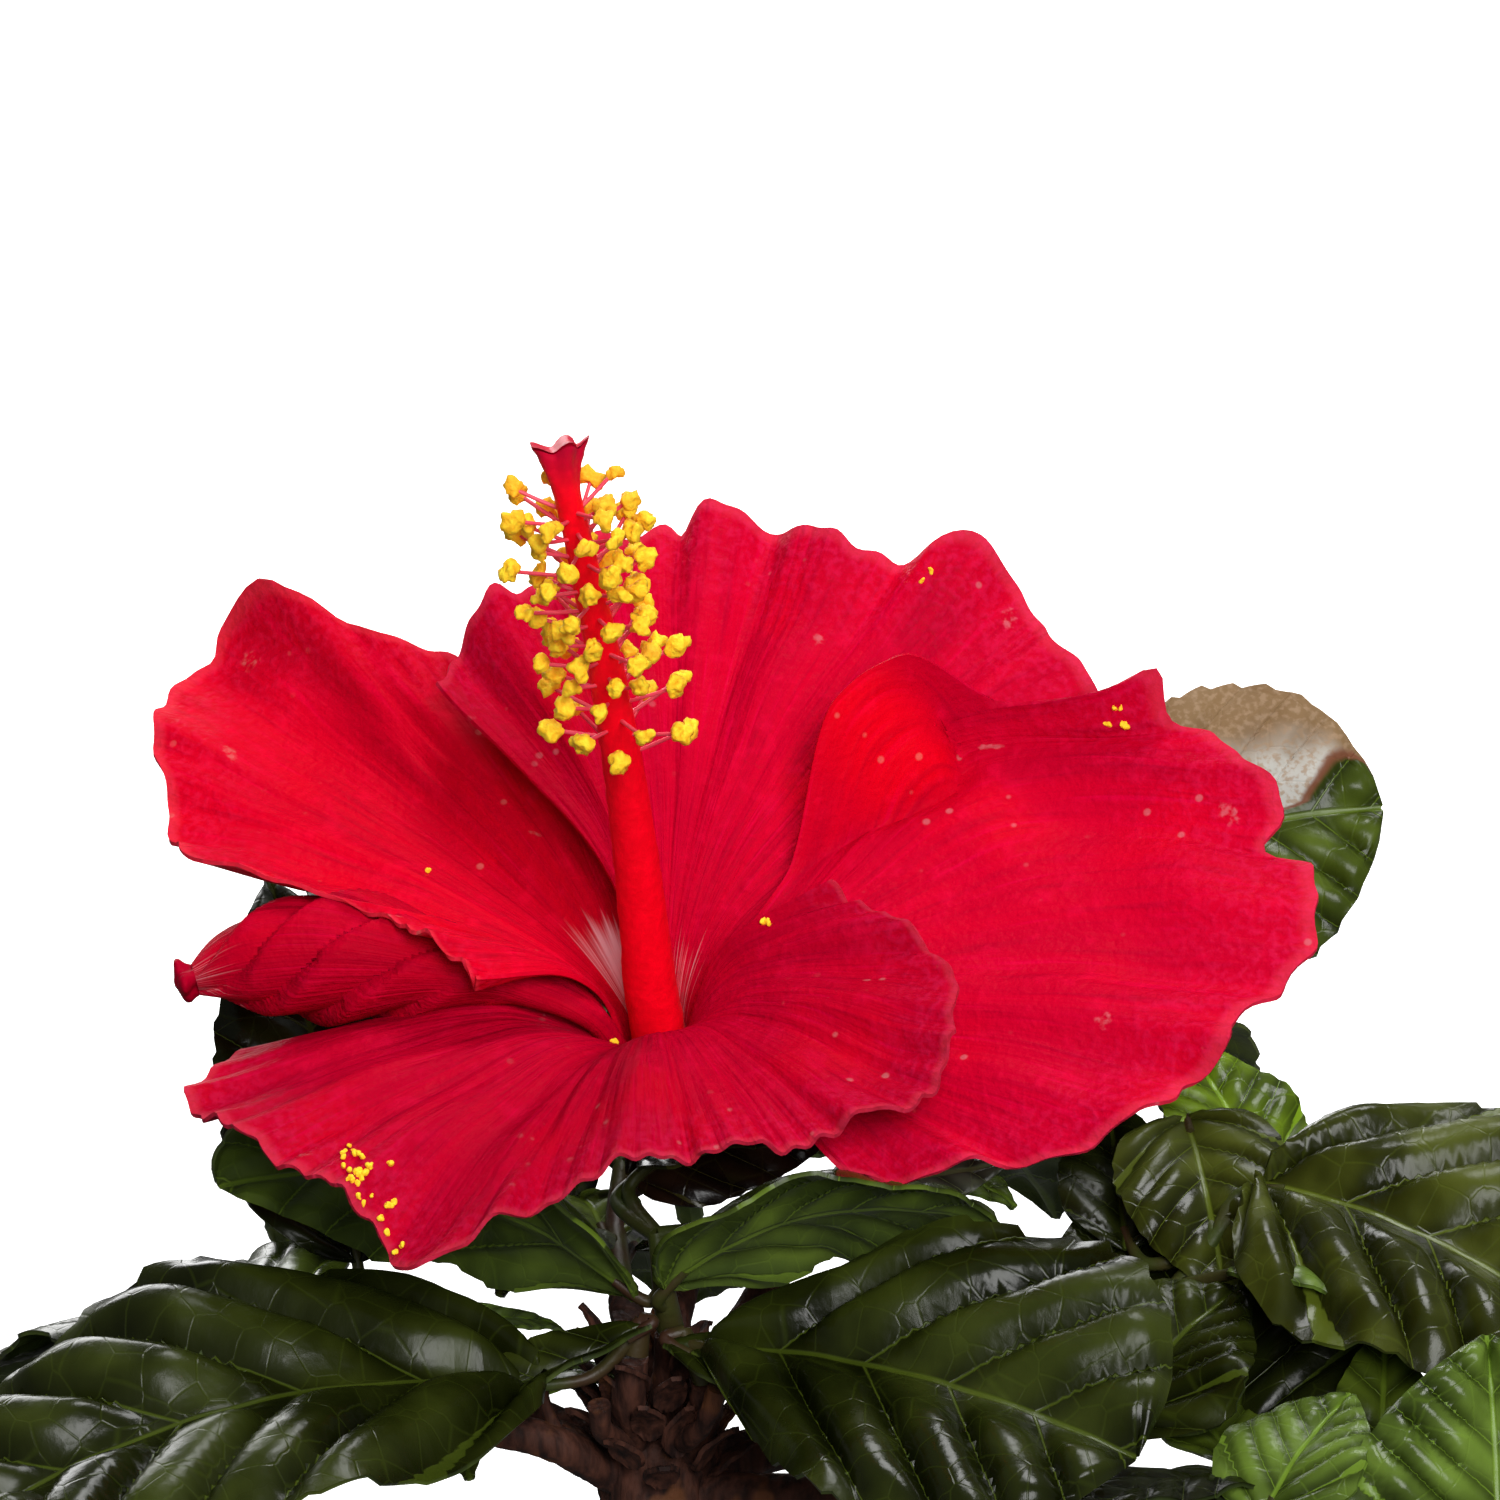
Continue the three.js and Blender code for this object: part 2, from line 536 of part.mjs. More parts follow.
/** The column with its stamens and the flared stigma at its tip. */
function columnSolid() {
  const steps = 9;
  const heights = Array.from({ length: steps + 1 }, (_, i) => (
    THREE.MathUtils.lerp(COLUMN.base, COLUMN.top, i / steps)));
  const radii = heights.map((_, i) => (
    THREE.MathUtils.lerp(COLUMN.baseRadius, COLUMN.topRadius, i / steps)));
  const pieces = [limb(heights.map(columnPoint), radii, 8)];
  const stigmaHeights = [COLUMN.top - STIGMA.length, COLUMN.top - STIGMA.flare, COLUMN.top];
  const stigmaRadii = [COLUMN.topRadius, COLUMN.topRadius * STIGMA.neck, STIGMA.radius];
  pieces.push(limb(stigmaHeights.map(columnPoint), stigmaRadii, 10));
  const firstDraw = 31;
  for (let i = 0; i < STAMENS.count; i += 1) {
    const height = THREE.MathUtils.lerp(STAMENS.from, STAMENS.to, (i + 0.5) / STAMENS.count);
    const turn = toRadians(STAMENS.turn * i);
    const narrowing = 1 - STAMENS.narrow * smooth(0.5, 1, i / STAMENS.count);
    const chance = STAMENS.shortest + STAMENS.spread * scatter(i + firstDraw);
    const reach = STAMENS.reach * narrowing * chance;
    const outward = bloomPoint(1, turn, 0).sub(THROAT);
    const root = columnPoint(height - STAMENS.slope);
    const end = columnPoint(height).addScaledVector(outward, reach);
    const anther = new THREE.OctahedronGeometry(STAMENS.anther, 0).translate(end.x, end.y, end.z);
    pieces.push(limb([root, end], [STAMENS.filament, STAMENS.filament], 3), anther);
  }
  return fuse(pieces);
}

/** The cup that holds the claws, with its teeth, round the bloom's axis. */
function calyxSolid() {
  const { top, floor, bottom, radius, flare, wall, teeth, tooth, toothSink } = CALYX;
  const profile = [
    [0, bottom], [CALYX.footRadius, bottom], [CALYX.shoulderRadius, CALYX.shoulder],
    [radius - flare, floor], [radius, top],
    [radius - wall, top], [radius - wall - flare, floor + wall], [0, floor],
  ].map(([x, y]) => new THREE.Vector2(x, y));
  const pieces = [new THREE.LatheGeometry(profile, 2 * teeth)];
  for (let i = 0; i < teeth; i += 1) {
    const turn = (2 * Math.PI * (i + 0.28)) / teeth;
    const rows = [0, 0.5, 1].map((place) => {
      const half = CALYX.toothHalfAngle * (1 - place) + CALYX.toothTip;
      const lean = radius - wall / 2 + CALYX.toothLean * place * place;
      return [-1, 0, 1].map((across) => new THREE.Vector3(
        lean * Math.sin(turn + across * half),
        top - toothSink + (tooth + toothSink) * place,
        lean * Math.cos(turn + across * half),
      ));
    });
    pieces.push(sheet(rows, wall * 0.8));
  }
  return fuse(pieces);
}

/** The short stalk under the calyx with its ring of narrow bracts, drawn round the bloom's axis. */
function pedicelSolid() {
  const end = CALYX.bottom - CLEARANCE;
  const path = [PEDICEL.length, PEDICEL.neck, 0].map((drop) => new THREE.Vector3(0, end - drop, 0));
  const pieces = [limb(path, [PEDICEL.radius, PEDICEL.radius, PEDICEL.radius * PEDICEL.flare], 8)];
  for (let i = 0; i < EPICALYX.bracts; i += 1) {
    const turn = (2 * Math.PI * i) / EPICALYX.bracts;
    const rows = [0, 0.5, 1].map((place) => {
      const out = 1 + EPICALYX.reach * Math.sin(1.35 * place);
      const half = (EPICALYX.width / 2) * (1 - 0.75 * place * place);
      return [-1, 1].map((across) => new THREE.Vector3(
        out * Math.sin(turn) + across * half * Math.cos(turn),
        end - EPICALYX.sink + EPICALYX.height * place * place,
        out * Math.cos(turn) - across * half * Math.sin(turn),
      ));
    });
    pieces.push(sheet(rows, EPICALYX.thickness));
  }
  return fuse(pieces);
}

/** Turns a solid drawn round +Y at the origin so that it stands on the bloom's axis. */
function ontoBloomAxis(solid) {
  const turn = new THREE.Quaternion().setFromUnitVectors(new THREE.Vector3(0, 1, 0), BLOOM_AXIS);
  const matrix = new THREE.Matrix4().compose(THROAT, turn, new THREE.Vector3(1, 1, 1));
  return toSolid(toGeometry(solid).applyMatrix4(matrix));
}

// ---------------------------------------------------------------- the plant
const COLOURS = {
  bark: { color: 0x4a3428, roughness: 0.85 },
  leaf: { color: 0x2f4a1c, roughness: 0.35 },
  petal: { color: 0xd2102e, roughness: 0.5 },
  column: { color: 0xd81030, roughness: 0.45 },
  calyx: { color: 0x6f8f3a, roughness: 0.6 },
};

const plant = new THREE.Group();

function addNode(name, solid, look) {
  const material = new THREE.MeshStandardMaterial({ ...COLOURS[look], metalness: 0 });
  const mesh = new THREE.Mesh(toGeometry(solid), material);
  mesh.name = name;
  plant.add(mesh);
}

const trunkPath = TRUNK.path.map(vector);
addNode('trunk', toSolid(limb(trunkPath, TRUNK.radii, TRUNK_SIDES)), 'bark');

// What grows out of the trunk and the boughs is cut clear of them.
const limbCutters = [toSolid(limb(trunkPath, TRUNK.radii, TRUNK_SIDES, CLEARANCE))];
Object.entries(BOUGHS).forEach(([name, { path, radii }]) => {
  const bough = fuse([taperedLimb(path, radii, BOUGH_SIDES, BOUGH_STEPS)], limbCutters);
  addNode(name, bough, 'bark');
  limbCutters.push(toSolid(taperedLimb(path, radii, BOUGH_SIDES, BOUGH_STEPS, CLEARANCE)));
});

addNode('pedicel', fuse([toGeometry(ontoBloomAxis(pedicelSolid()))], limbCutters), 'calyx');
addNode('calyx', ontoBloomAxis(calyxSolid()), 'calyx');
addNode('staminal_column', columnSolid(), 'column');
Object.entries(PETALS).forEach(([name, petal]) => addNode(name, toSolid(petalGeometry(petal)), 'petal'));
addNode('petal_furled', toSolid(furledGeometry()), 'petal');

Object.entries(MASSES).forEach(([name, mass]) => {
  addNode(name, massSolid(mass, limbCutters), 'leaf');
});

export default plant;
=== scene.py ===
# %% [markdown]
# # A small hibiscus shrub in flower
#
# The real plant is a low shrub: a short woody trunk that forks close to the ground, boughs that
# end in glossy quilted leaves, and one open red bloom. The construction model is loaded first and
# stays where it is. Every piece made below stands for one or more of its solids, in its place.

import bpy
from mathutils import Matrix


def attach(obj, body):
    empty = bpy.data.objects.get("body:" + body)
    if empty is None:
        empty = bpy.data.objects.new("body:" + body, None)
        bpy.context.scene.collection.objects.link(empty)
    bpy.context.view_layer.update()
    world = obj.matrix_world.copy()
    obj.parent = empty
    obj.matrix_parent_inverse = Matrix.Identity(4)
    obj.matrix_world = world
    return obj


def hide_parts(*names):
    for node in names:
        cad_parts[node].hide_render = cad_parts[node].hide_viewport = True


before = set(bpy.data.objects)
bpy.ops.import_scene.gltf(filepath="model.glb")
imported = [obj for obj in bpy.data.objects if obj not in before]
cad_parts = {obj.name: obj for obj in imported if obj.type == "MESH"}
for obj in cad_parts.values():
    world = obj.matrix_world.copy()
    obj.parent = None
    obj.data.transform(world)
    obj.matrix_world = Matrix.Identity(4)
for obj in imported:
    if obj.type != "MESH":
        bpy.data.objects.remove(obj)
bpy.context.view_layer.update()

# %% [markdown]
# ## Camera and light
#
# The bloom is seen from the front and a little from above, through a long lens, so that near and
# far petals keep nearly the same scale. The light comes from three large soft boxes and a dim sky:
# leaves show gloss only where something bright is reflected in them.

# %% Camera
from math import cos, pi, radians, sin

import bpy
import numpy as np
from mathutils import Vector, noise

MM = 0.001
scene = bpy.context.scene
VIEW_TARGET = Vector((10, 19.3, 117)) * MM
VIEW_DISTANCE = 0.9
VIEW_ELEVATION = radians(15)
LENS = 202.5
FARTHEST = 60

camera = bpy.data.objects.new("camera", bpy.data.cameras.new("camera"))
camera.data.lens = LENS
camera.data.clip_end = FARTHEST
camera.location = VIEW_TARGET + VIEW_DISTANCE * Vector((0, -cos(VIEW_ELEVATION), sin(VIEW_ELEVATION)))
camera.rotation_euler = (pi / 2 - VIEW_ELEVATION, 0, 0)
scene.collection.objects.link(camera)
scene.camera = camera
print("camera at", tuple(round(x, 3) for x in camera.location))

# %% Soft boxes and the sky
BOXES = {                       # place, aim, width and power of each square soft box
    "overhead": ((0.3, 0.6, 2.2), (0, 0.1, 0), 0.8, 32),
    "key": ((0.45, -2.0, 1.2), (0, 0, 0.1), 1.1, 60),
    "back": ((-0.6, 1.9, 0.9), (0, 0, 0.1), 1.0, 22),
}
SKY_STRENGTH = 0.18

for name, (place, aim, width, power) in BOXES.items():
    box = bpy.data.objects.new(name, bpy.data.lights.new(name, "AREA"))
    box.data.size = width
    box.data.energy = power
    box.location = place
    box.rotation_euler = (Vector(aim) - Vector(place)).to_track_quat("-Z", "Y").to_euler()
    box.visible_camera = False
    scene.collection.objects.link(box)

scene.world = bpy.data.worlds.new("studio")
scene.world.use_nodes = True
sky = scene.world.node_tree.nodes["Background"]
sky.inputs["Color"].default_value = (1, 1, 1, 1)
sky.inputs["Strength"].default_value = SKY_STRENGTH
scene.view_settings.view_transform = "Standard"
print("soft boxes:", len(BOXES))

# %% [markdown]
# ## Small helpers
#
# The plant is worked out in millimetres with NumPy, on whole grids of points at once. `along` is a
# smooth curve through a short list of values, `fade` is the usual S-shaped step, `hump` rises and
# falls again, and `scatter` is a repeatable chance: the same number always gives the same value, so
# the plant never changes.


# %% Curves, steps and chances
def along(values, place):
    """A smooth curve through equally spaced values or points, at places from 0 to 1 along them."""
    values = np.asarray(values, float)
    last = len(values) - 1
    spot = np.clip(place, 0, 1) * last
    i = np.minimum(np.floor(spot).astype(int), last - 1)
    f = spot - i
    if values.ndim == 2:
        f = f[..., None]
    a, b, c, d = (values[np.clip(i + step, 0, last)] for step in (-1, 0, 1, 2))
    return b + 0.5 * f * (c - a + f * (2 * a - 5 * b + 4 * c - d + f * (3 * (b - c) + d - a)))


def fade(low, high, x):
    """0 below low, 1 above high, and a smooth step between them."""
    t = np.clip((x - low) / (high - low), 0, 1)
    return t * t * (3 - 2 * t)


def hump(away, width):
    """1 where away is nought, falling off smoothly to both sides."""
    return np.exp(-((away / width) ** 2))


def scatter(number):
    """A repeatable value from 0 to 1 for a whole number."""
    return (sin(number * 12.9898) * 43758.5453) % 1


def unit(vectors):
    """The same directions, each with a length of 1."""
    return vectors / np.maximum(np.linalg.norm(vectors, axis=-1, keepdims=True), 1e-9)


def direction(heading, rise):
    """The direction with a heading and a rise in degrees."""
    heading, rise = np.radians(heading), np.radians(rise)
    return np.stack([np.cos(rise) * np.cos(heading), np.cos(rise) * np.sin(heading),
                     np.sin(rise) + 0 * heading], axis=-1)


def ripple(points, size, seed=0):
    """Smooth noise from -1 to 1 at each point, with waves of about the size given."""
    flat = np.asarray(points, float).reshape(-1, 3) / size + seed * 17.3
    return np.array([noise.noise(p) for p in flat.tolist()]).reshape(np.shape(points)[:-1])


print("a curve through 0, 1, 0 at a quarter:", along([0, 1, 0], 0.25))


# %% [markdown]
# ## Gathering a mesh
#
# Blades, petals and limbs all start as a grid of points. `Shape` gathers such grids with named
# values, such as how far across its leaf a point lies, which the materials read later. A blade
# is a closed sheet: two faces a small thickness apart, joined by a wall round the margin.


# %% Shapes
class Shape:
    """Points, faces and named values that become one mesh."""

    def __init__(self):
        self.points = []
        self.faces = []
        self.values = {}
        self.count = 0

    def add(self, points, faces, **values):
        points = points.reshape(-1, 3)
        for name, value in values.items():
            self.values.setdefault(name, []).append(value)
        self.points.append(points)
        self.faces += [[corner + self.count for corner in face] for face in faces]
        self.count += len(points)

    def mesh(self, name, sharp=50):
        """A smooth mesh in metres. Edges that bend by more than sharp degrees stay crisp."""
        mesh = bpy.data.meshes.new(name)
        mesh.from_pydata((np.concatenate(self.points) * MM).tolist(), [], self.faces)
        mesh.shade_smooth()
        mesh.set_sharp_from_angle(angle=radians(sharp))
        for label, parts in self.values.items():
            value = np.concatenate(parts)
            kind, field = ("FLOAT", "value") if value.ndim == 1 else ("FLOAT_VECTOR", "vector")
            mesh.attributes.new(label, kind, "POINT").data.foreach_set(field, value.ravel())
        return mesh


def cells(low, high):
    """Quads between two lines of corners."""
    return np.stack([low[:-1], low[1:], high[1:], high[:-1]], axis=-1).reshape(-1, 4).tolist()


def sheet(middle, thickness):
    """A closed sheet round a grid of points, as its points and its faces."""
    ahead = np.gradient(middle, axis=0)
    across = np.gradient(middle, axis=1)
    lift = unit(np.cross(across, ahead)) * thickness / 2
    grid = np.arange(middle.shape[0] * middle.shape[1]).reshape(middle.shape[:2])
    under = grid + grid.size
    faces = []
    for i in range(len(grid) - 1):
        faces += cells(grid[i], grid[i + 1])
        faces += cells(under[i, ::-1], under[i + 1, ::-1])
    loop = np.concatenate([grid[:, 0], grid[-1, 1:], grid[-2::-1, -1], grid[0, -2::-1]])
    faces += [[a, b, b + grid.size, a + grid.size] for a, b in zip(loop[:-1], loop[1:])]
    return np.concatenate([middle + lift, middle - lift]).reshape(-1, 3), faces


def both_faces(**values):
    """Named values of a grid of points, doubled for the two faces of its sheet."""
    doubled = {}
    for name, value in values.items():
        flat = value.reshape(-1, 3) if value.ndim == 3 else value.ravel()
        doubled[name] = np.concatenate([flat, flat])
    return doubled


def limb(centres, radii, sides, relief=None):
    """Rings round a path, closed at both ends. relief gives each point's share of extra radius."""
    forward = unit(np.gradient(centres, axis=0))
    side = np.array([1, 0.17, 0.05])
    turn = np.arange(sides) * 2 * pi / sides
    rings = []
    for centre, ahead, radius in zip(centres, forward, radii):
        side = unit(side - ahead * side.dot(ahead))
        other = np.cross(ahead, side)
        rings.append(centre + radius * (np.outer(np.cos(turn), side) + np.outer(np.sin(turn), other)))
    points = np.array(rings)
    if relief is not None:
        points += (points - centres[:, None]) * relief(points)[..., None]
    grid = np.arange(points.shape[0] * sides).reshape(-1, sides)
    around = np.concatenate([grid, grid[:, :1]], axis=1)
    faces = [face for low, high in zip(around[:-1], around[1:]) for face in cells(low, high)]
    return points.reshape(-1, 3), faces + [grid[0, ::-1].tolist(), grid[-1].tolist()]


def smooth_limb(path, radii, sides, steps, relief=None):
    """A limb along a path of a few points, bent smoothly."""
    place = np.linspace(0, 1, steps + 1)
    return limb(along(path, place), along(radii, place), sides, relief)


points, faces = limb(np.array([[0.0, 0, 0], [0, 0, 1]]), [1, 1], 6)
print("a limb of two rings with six sides:", len(points), "points and", len(faces), "faces")


# %% Putting a piece into the scene
def show(name, mesh, finish, slot, *nodes):
    """Puts a finished mesh into the scene, in the place of the solids it stands for."""
    piece = bpy.data.objects.new(name, mesh)
    scene.collection.objects.link(piece)
    if not mesh.materials:
        mesh.materials.append(finish)
    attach(piece, "root")
    if nodes:
        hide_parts(*nodes)
    print(f"{name}: {sum(len(p.vertices) - 2 for p in mesh.polygons)} triangles")


# %% [markdown]
# ## Writing materials as sums
#
# A shader is a graph, but its maths reads best as an expression. `Value` wraps a socket, and each
# operator adds the Math node it stands for. `Sketch.node` makes any other node from its type, its
# settings and what goes into its sockets.


# %% Values and sketches
def feed(tree, socket, value):
    """Links a value into a socket, or sets the socket to a plain number or colour."""
    if isinstance(value, Value):
        tree.links.new(value.socket, socket)
    else:
        socket.default_value = value


class Value:
    """A socket that Python's operators work on."""

    def __init__(self, tree, socket):
        self.tree = tree
        self.socket = socket

    def math(self, operation, *others):
        """A Math node that works on this value and the others."""
        node = self.tree.nodes.new("ShaderNodeMath")
        node.operation = operation
        for place, value in enumerate((self, *others)):
            feed(self.tree, node.inputs[place], value)
        return Value(self.tree, node.outputs[0])

    def __add__(self, other):
        return self.math("ADD", other)

    def __mul__(self, other):
        return self.math("MULTIPLY", other)

    def __sub__(self, other):
        return self.math("SUBTRACT", other)

    def __rsub__(self, other):
        return self * -1 + other

    def __abs__(self):
        return self.math("ABSOLUTE")

    def fade(self, low, high, start=0.0, end=1.0):
        """A smooth step from start, where this is low, to end, where this is high."""
        node = self.tree.nodes.new("ShaderNodeMapRange")
        node.interpolation_type = "SMOOTHSTEP"
        for place, value in enumerate((self, low, high, start, end)):
            feed(self.tree, node.inputs[place], value)
        return Value(self.tree, node.outputs[0])


class Sketch:
    """The nodes of one material or of one Geometry Nodes tree."""

    def __init__(self, tree):
        self.tree = tree

    def node(self, kind, settings=None, inputs=None, output=0):
        """A node of any type, with its settings made first and its sockets fed after."""
        node = self.tree.nodes.new(kind)
        for name, value in (settings or {}).items():
            setattr(node, name, value)
        for name, value in (inputs or {}).items():
            feed(self.tree, node.inputs[name], value)
        return Value(self.tree, node.outputs[output])

    def read(self, attribute, output="Fac"):
        """One of the mesh's own named values: Fac for a number, Vector for three."""
        return self.node("ShaderNodeAttribute", {"attribute_name": attribute}, output=output)

    def place(self):
        """Where on its piece a point lies, in metres."""
        return self.node("ShaderNodeTexCoord", output="Object")

    def grain(self, where, scale, detail=2.0):
        """Noise from 0 to 1."""
        sizes = {"Vector": where, "Scale": scale, "Detail": detail}
        return self.node("ShaderNodeTexNoise", inputs=sizes)

    def stretch(self, where, scale):
        """A place scaled by a different amount along each axis."""
        return self.node("ShaderNodeMapping", inputs={"Vector": where, "Scale": scale})

    def blend(self, share, low, high):
        """A colour that goes from low to high as share goes from 0 to 1."""
        low, high = (c if isinstance(c, Value) else (*c, 1) for c in (low, high))
        return self.node("ShaderNodeMix", {"data_type": "RGBA"}, {0: share, 6: low, 7: high}, output=2)

    def scale(self, vector, by):
        """A vector or a colour times a number."""
        return self.node("ShaderNodeVectorMath", {"operation": "SCALE"}, {0: vector, "Scale": by})

    def lighten(self, colour, times, plus):
        """A colour times one colour, plus another."""
        parts = {0: colour, 1: times, 2: plus}
        return self.node("ShaderNodeVectorMath", {"operation": "MULTIPLY_ADD"}, parts)

    def bump(self, height, strength, depth):
        """A normal from a height: depth is how far a height of 1 stands out, in metres."""
        sizes = {"Height": height, "Strength": strength, "Distance": depth}
        return self.node("ShaderNodeBump", inputs=sizes)


def finish_of(name, draw, constants):
    """A material whose changing sockets come from draw, and whose other sockets are constants."""
    result = bpy.data.materials.new(name)
    result.use_nodes = True
    shader = result.node_tree.nodes["Principled BSDF"]
    for socket, value in constants.items():
        shader.inputs[socket].default_value = value
    for socket, value in draw(Sketch(result.node_tree)).items():
        feed(result.node_tree, shader.inputs[socket], value)
    print("finish", name, "with", len(result.node_tree.nodes), "nodes")
    return result


# %% [markdown]
# ## The floor and the walls
#
# A plain pale sheet that reaches well past the view, and white walls round it for low views. A
# white sky would do for the background, but it would also light the shaded sides of the leaves.
# These aren't part of the plant, so they are staged, and its leaves don't reflect them.


# %% Floor and walls
def draw_floor(s):
    return {"Base Color": s.blend(s.grain(s.place(), 0.7), (0.88, 0.88, 0.88), (0.9, 0.9, 0.9))}


FLOOR_HALF = 9000.0
FLOOR_CORNERS = np.array([[-1, -1, 0], [1, -1, 0], [1, 1, 0], [-1, 1, 0]]) * FLOOR_HALF
WALL_CORNERS = np.concatenate([FLOOR_CORNERS, FLOOR_CORNERS + np.array([0, 0, FLOOR_HALF])])
WALL_FACES = [[i, (i + 1) % 4, (i + 1) % 4 + 4, i + 4] for i in range(4)]
FLOOR_GLOW = {"Roughness": 0.9, "Emission Color": (1, 1, 1, 1), "Emission Strength": 0.8}
WALL_GLOW = {**FLOOR_GLOW, "Emission Strength": 1.0}


def stage_set(name, points, faces, finish):
    """A plain surface round the plant that the leaves neither reflect nor get light from."""
    shape = Shape()
    shape.add(points, faces)
    surface = bpy.data.objects.new(name, shape.mesh(name))
    surface.data.materials.append(finish)
    surface.visible_diffuse = False
    surface.visible_glossy = False
    scene.collection.objects.link(surface)
    return surface


floor_finish = finish_of("pale_floor", draw_floor, FLOOR_GLOW)
wall_finish = finish_of("white_wall", draw_floor, WALL_GLOW)
stage_set("floor", FLOOR_CORNERS, [[0, 1, 2, 3]], floor_finish)
walls = stage_set("walls", WALL_CORNERS, WALL_FACES, wall_finish)
walls.visible_shadow = False

# %% [markdown]
# ## Where the bloom sits
#
# The bloom leans towards the viewer. A point in it is given by its reach from the throat, its
# angle in the bloom's plane (0 to the right, 90 to the back) and its height along the axis.

# %% The bloom's own measure
THROAT = np.array([-0.7, 13, 93])
AXIS = unit(np.array([-9, -30.9, 66.3]))
RIGHT = unit(np.array([1.0, 0, 0]) - AXIS * AXIS[0])
BACK = np.cross(AXIS, RIGHT)


def bloom_point(reach, angle, height):
    """Points of the bloom, in the plant's own millimetres."""
    reach, angle, height = (np.asarray(x, float)[..., None] for x in (reach, angle, height))
    return THROAT + RIGHT * reach * np.cos(angle) + BACK * reach * np.sin(angle) + AXIS * height


print("bloom axis leans", round(float(np.degrees(np.arccos(AXIS[2]))), 1), "degrees")

# %% [markdown]
# ## Petals
#
# A petal is a fan. Its lists run from its clockwise side to the other: how far the margin lies
# from the throat (reach), and how high it stands (tip). The fine mesh adds what a thin petal has:
# shallow rays, a frilled margin with small lobes, and a few broad folds. A plane could be sculpted
# into this shape, but a formula puts every fold where it is wanted, and it can tell other pieces,
# such as fallen pollen, where the petal lies.
#
# Each petal also has its own marks. `nicks` are curls and notches of the margin, with their side,
# width, rise and further reach. `scuffs` are worn spots, `pale` is the streaked part of the throat,
# and three colour factors per petal are painted shade: they darken the front petal most, as the
# light reaches it least, and shift the hue a little. The right petal has one corner folded over as
# an ear, whose red is lightened with painted light.

# %% Petal sizes
# Painted shade: the three colour factors of each petal darken its red, most on the front petal, which
# the light reaches least, and shift its hue a little.
PETALS = {
    "petal_left": {
        "claw": 144, "from": 100, "to": 200, "opens": (0, 0.5), "shoulder": 3, "lift": 1.6,
        "ruffle": 1.5, "waves": 5, "phase": 0.4, "tone": (1.0, 1, 0.88),
        "reach": [40, 48, 56, 73, 70.5, 61, 52, 30, 24, 19.7, 18.5],
        "tip": [6, 11, 12, 8, 7, 8, 10, 8, 6],
        "pale": {"side": 0.12, "spread": 0.24, "to": 0.55, "strength": 0.75},
        "nicks": [(0.27, 0.022, 3.5, 1), (0.325, 0.014, -0.5, -2.5), (0.93, 0.03, 2.5, 0)],
        "scuffs": [(0.6, 0.2), (0.95, 0.31), (0.9, 0.42)],
    },
    "petal_back": {
        "claw": 70, "from": 23, "to": 122, "opens": (0.2, 1), "shoulder": 6, "lift": 1.6,
        "ruffle": 1.4, "waves": 7, "phase": 1, "tone": (0.91, 1, 1.15),
        "reach": [58, 60, 60, 62, 55.5, 55.5, 57, 56.5, 51, 47.5, 46, 41],
        "tip": [3, 8, 14, 17, 18, 18, 18, 17, 13],
        "pale": {"side": 0.35, "spread": 0.4, "to": 0.42, "strength": 0.42},
        "nicks": [(0.31, 0.02, 1.5, 1.5), (0.62, 0.015, -1.5, -1.5)],
        "scuffs": [(0.865, 0.4), (0.97, 0.23)],
    },
    "petal_right": {
        "claw": -11, "from": -55, "to": 26, "opens": (0, 0.5), "shoulder": 3.3, "lift": 1.6,
        "ruffle": 1.2, "waves": 6, "phase": 2, "tone": (0.92, 1, 1.15),
        "reach": [33, 40, 46.5, 56.5, 61.5, 65, 71.5, 71, 69, 65, 58],
        "tip": [-2, -3, -2, 0, 2, 4, 6, 9, 11],
        "fold": {"height": 10.5, "lean": 18, "at": 0.71, "inner": 0.16, "outer": 0.08, "width": 0.32,
                 "groove": 1.2},
        "pale": {"side": 0.95, "spread": 0.25, "to": 0.5, "strength": 0.25},
        "nicks": [(0.968, 0.016, 2.5, 2), (0.74, 0.02, 1, -3), (0.45, 0.02, 2, 2)],
        "scuffs": [(0.875, 0.46), (0.95, 0.77), (0.8, 0.9)],
    },
    "petal_front": {
        "claw": -87, "from": -181, "to": 6, "opens": (0, 0.5), "shoulder": 4, "lift": 0.4,
        "ruffle": 1.2, "waves": 9, "phase": 0, "tone": (0.74, 1, 1.0),
        "reach": [43, 50.5, 48.5, 46.5, 45.5, 49.5, 38, 33, 32.5, 34.3, 36, 40, 38.5, 34.5, 27, 21],
        "tip": [-4, 0.5, 4, 4, 3, 4, 5, 4, 4, 5, 7, 8, 9],
        "pale": {"side": 0.1, "spread": 0.2, "to": 0.3, "strength": 0.1},
        "nicks": [(0.3, 0.015, -1, -1), (0.86, 0.015, 1.5, 0.5)],
        "scuffs": [(0.4, 0.04), (0.97, 0.2)],
    },
}
CLAW_RADIUS, CLAW_DEPTH, CLAW_HALF_ANGLE = 3.7, 13, 34
PETAL_THICKNESS = 0.45
PETAL_ROWS = 90                       # steps from the claw to the margin
COLUMNS_PER_DEGREE = 1.35
RAY_HEIGHT = 0.2
FRILL_HEIGHT = 0.7
BILLOW = {"height": 1.3, "size": 13.0}
LOBE_SHARE = 0.012
SCUFF_SIZE = 0.015
GROOVE_WIDTH = 0.06
# Painted light: the folded ear's red is lightened, as light shining through the thin fold would lighten
# it.
FLAP_PAINTED_LIGHT = np.array([0.25, 0, -0.35])  # thin folded tissue lets more light through
print("petals:", ", ".join(PETALS))


# %% Petal margin and relief
def rays(span, side, counts, seed):
    """Waves across a fan, as many for each hundred degrees of it as counts says."""
    total = 0
    for k, count in enumerate(counts):
        bend = 0.9 * np.sin(2 * pi * (1.7 * side + scatter(seed + k)))
        total = total + np.sin(2 * pi * (count * span * side + scatter(seed + 9 + k)) + bend)
    return total / len(counts)


